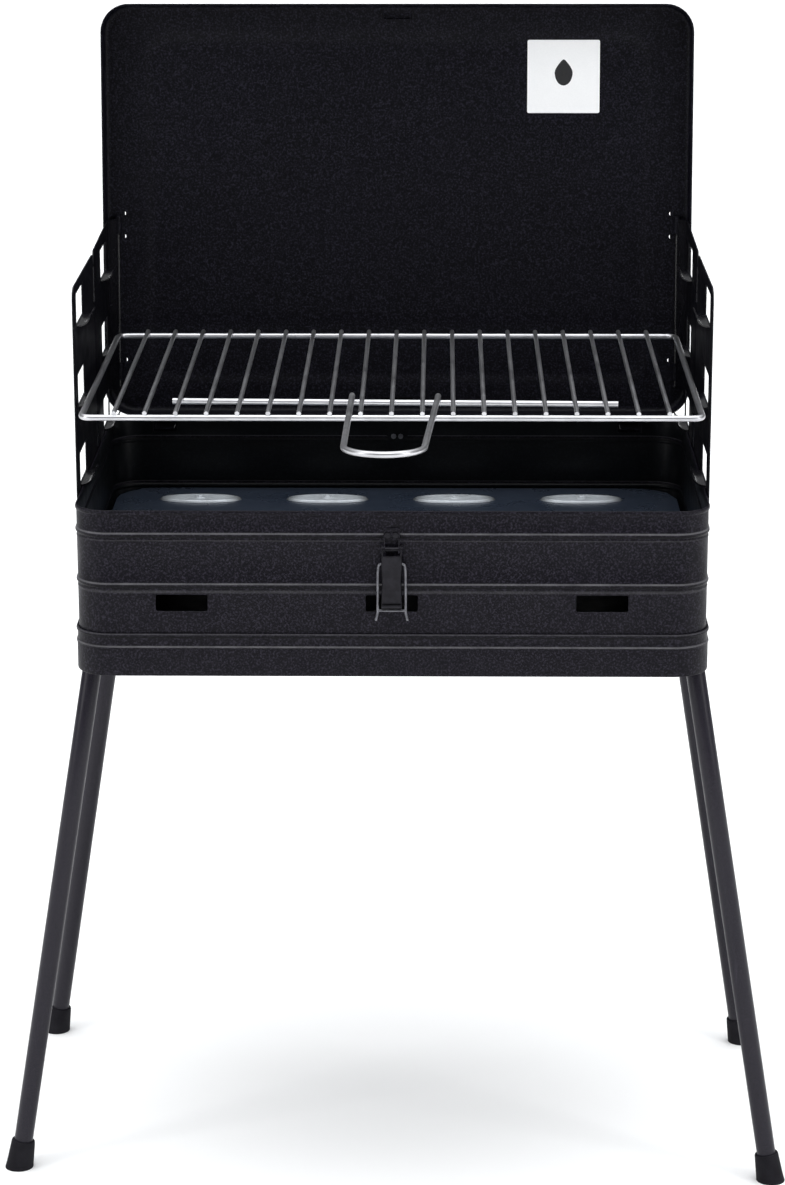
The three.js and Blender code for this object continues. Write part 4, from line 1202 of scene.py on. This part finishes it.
def handle_wires():
    bar_z = GRATE_Z - 0.9
    leg_z = bar_z + 3.6
    end_z = leg_z + 6.6
    radius = 24.5
    straight_end = HANDLE_TIP_Y + radius

    def height(y):
        return leg_z + (HANDLE_BAR_Y - y) * (end_z - leg_z) / (HANDLE_BAR_Y - HANDLE_TIP_Y)

    loop = [(-HANDLE_LEG_X, HANDLE_BAR_Y + 4, leg_z)]
    for k in range(6):
        y = HANDLE_BAR_Y + (straight_end - HANDLE_BAR_Y) * (k + 0.5) / 6
        x = -HANDLE_LEG_X + (HANDLE_LEG_X - radius) * (k + 0.5) / 6
        loop.append((x, y, height(y)))
    for k in range(25):
        angle = math.pi * (1 - k / 24)
        y = straight_end - radius * math.sin(angle)
        loop.append((radius * math.cos(angle), y, height(y)))
    loop += [(-x, y, z) for x, y, z in reversed(loop[:7])]
    bar = [(x, HANDLE_BAR_Y, bar_z) for x in (-HANDLE_BAR_HALF, -70, 70, HANDLE_BAR_HALF)]
    vertices, faces = merge([wire(path, 2.0, 18) for path in (loop, bar)])
    turn = Matrix.Rotation(HANDLE_SKEW, 3, "Z")
    pivot = Vector((0, HANDLE_BAR_Y, 0))
    return [turn @ (v - pivot) + pivot + Vector((1.5, 0, 0)) for v in vertices], faces


put("grate_wires", grate_wires(), chrome, "grate", ("grate",), angle=50)
put("handle_wires", handle_wires(), chrome, "grate_handle", ("grate_handle",), angle=50)

# ---- latches ----


def latch_parts(side):
    """Shapes of one latch, drawn for the front wall and turned round for the rear one."""
    face = -(CASE_HALF[1] + GAP)
    turn = Matrix.Rotation(0 if side == "front" else math.pi, 3, "Z")

    def placed(part):
        return [turn @ Vector(v) for v in part[0]], part[1]

    plate = prism(rounded_outline(5.2, 7.75, 1.6, (0, 453.75)), 0, 1, lambda u, v, w: (u, face - w, v))
    ears = []
    for hand in (-1, 1):
        outline = [(face - 0.2, 445), (face - 0.2, 455.0), (-144.8, 452.6)]
        outline += arc((LATCH_PIN_Y, LATCH_PIN_Z), 2.9, 70, 270, 8)
        inside, outside = sorted((hand * 4.2, hand * 5.2))
        ears.append(prism(outline, inside, outside, lambda u, v, w: (w, u, v)))
    base = placed(merge([plate, *ears]))

    front = LATCH_PIN_Y - 2.4
    rows = []
    widths = [(444.6, 6.1), (443.6, 6.4), (436, 6.4), (428, 5.9), (420, 6.2)]
    widths += [(413, BLADE_HALF), (BLADE_LOW, BLADE_HALF)]
    for z, half in widths:
        dip = 0.5 * math.sin(max(min((z - 411) / 30, 1), 0) * math.pi)
        rows.append([
            Vector((half * u, front + 0.5 + max(abs(u) - 0.92, 0) / 0.08 + dip * (1 - abs(u)), z))
            for u in BLADE_ACROSS
        ])
    for k in range(7):
        angle = math.pi * 0.62 * k / 6
        y = front + 0.5 - 2.2 * math.sin(angle)
        z = BLADE_LOW - 0.4 + 2.2 * (1 - math.cos(angle)) - 1.4 * math.sin(angle)
        rows.append([Vector((BLADE_HALF * u, y, z)) for u in BLADE_ACROSS])
    blade = placed(grid_sheet(rows))
    cheeks = []
    for hand in (-1, 1):
        outline = [(front + 0.3, 434.5), (PIN_FRONT, 436.0), (PIN_FRONT + 1.5, 443)]
        outline += arc((LATCH_PIN_Y, LATCH_PIN_Z), 2.3, -20, 180, 8)
        outline.append((front + 0.3, 444.5))
        inside, outside = sorted((hand * 5.6, hand * 6.4))
        cheeks.append(prism(outline, inside, outside, lambda u, v, w: (w, u, v)))
    cheek = placed(merge(cheeks))

    arms = []
    for hand in (-1, 1):
        arms.append(wire(bent([
            (hand * x, LATCH_PIN_Y, z)
            for x, z in ((5.0, BAIL_Z), (8.3, BAIL_Z - 0.3), (8.9, 433), (9.0, 406.4), (10.3, 401.2))
        ], 1.5, 5), 0.9, 12))
    arms.append(wire([(x, LATCH_PIN_Y, BAIL_LOW) for x in (-9, 0, 9)], 0.9, 12))
    bail = placed(merge(arms))
    return base, blade, cheek, bail


for side_word in ("front", "rear"):
    base_part, blade_part, cheek_part, bail_part = latch_parts(side_word)
    latch, lever, bail = f"{side_word}_latch", f"{side_word}_lever", f"{side_word}_bail"
    put(f"{latch}_plate", base_part, case_paint, "case", (f"{latch}_base",), bevel=0.15)
    put(
        f"{latch}_blade", blade_part, latch_black, lever, (f"{latch}_lever",),
        solid=0.9, bevel=0.15,
    )
    put(f"{latch}_cheeks", cheek_part, latch_black, lever, bevel=0.12)
    put(f"{latch}_wire", bail_part, latch_wire, bail, (f"{latch}_bail",), angle=50)
    dress(f"{latch}_pin", latch_black, 0.2)
    # Painted glint: the rear rivets take the brighter zinc so they catch glints, while the front rivets stay
    # black.
    for index in (1, 2):
        dress(f"{latch}_rivet_{index}", zinc if side_word == "rear" else latch_black, 0.25)

# ---- close ----

bpy.context.view_layer.update()
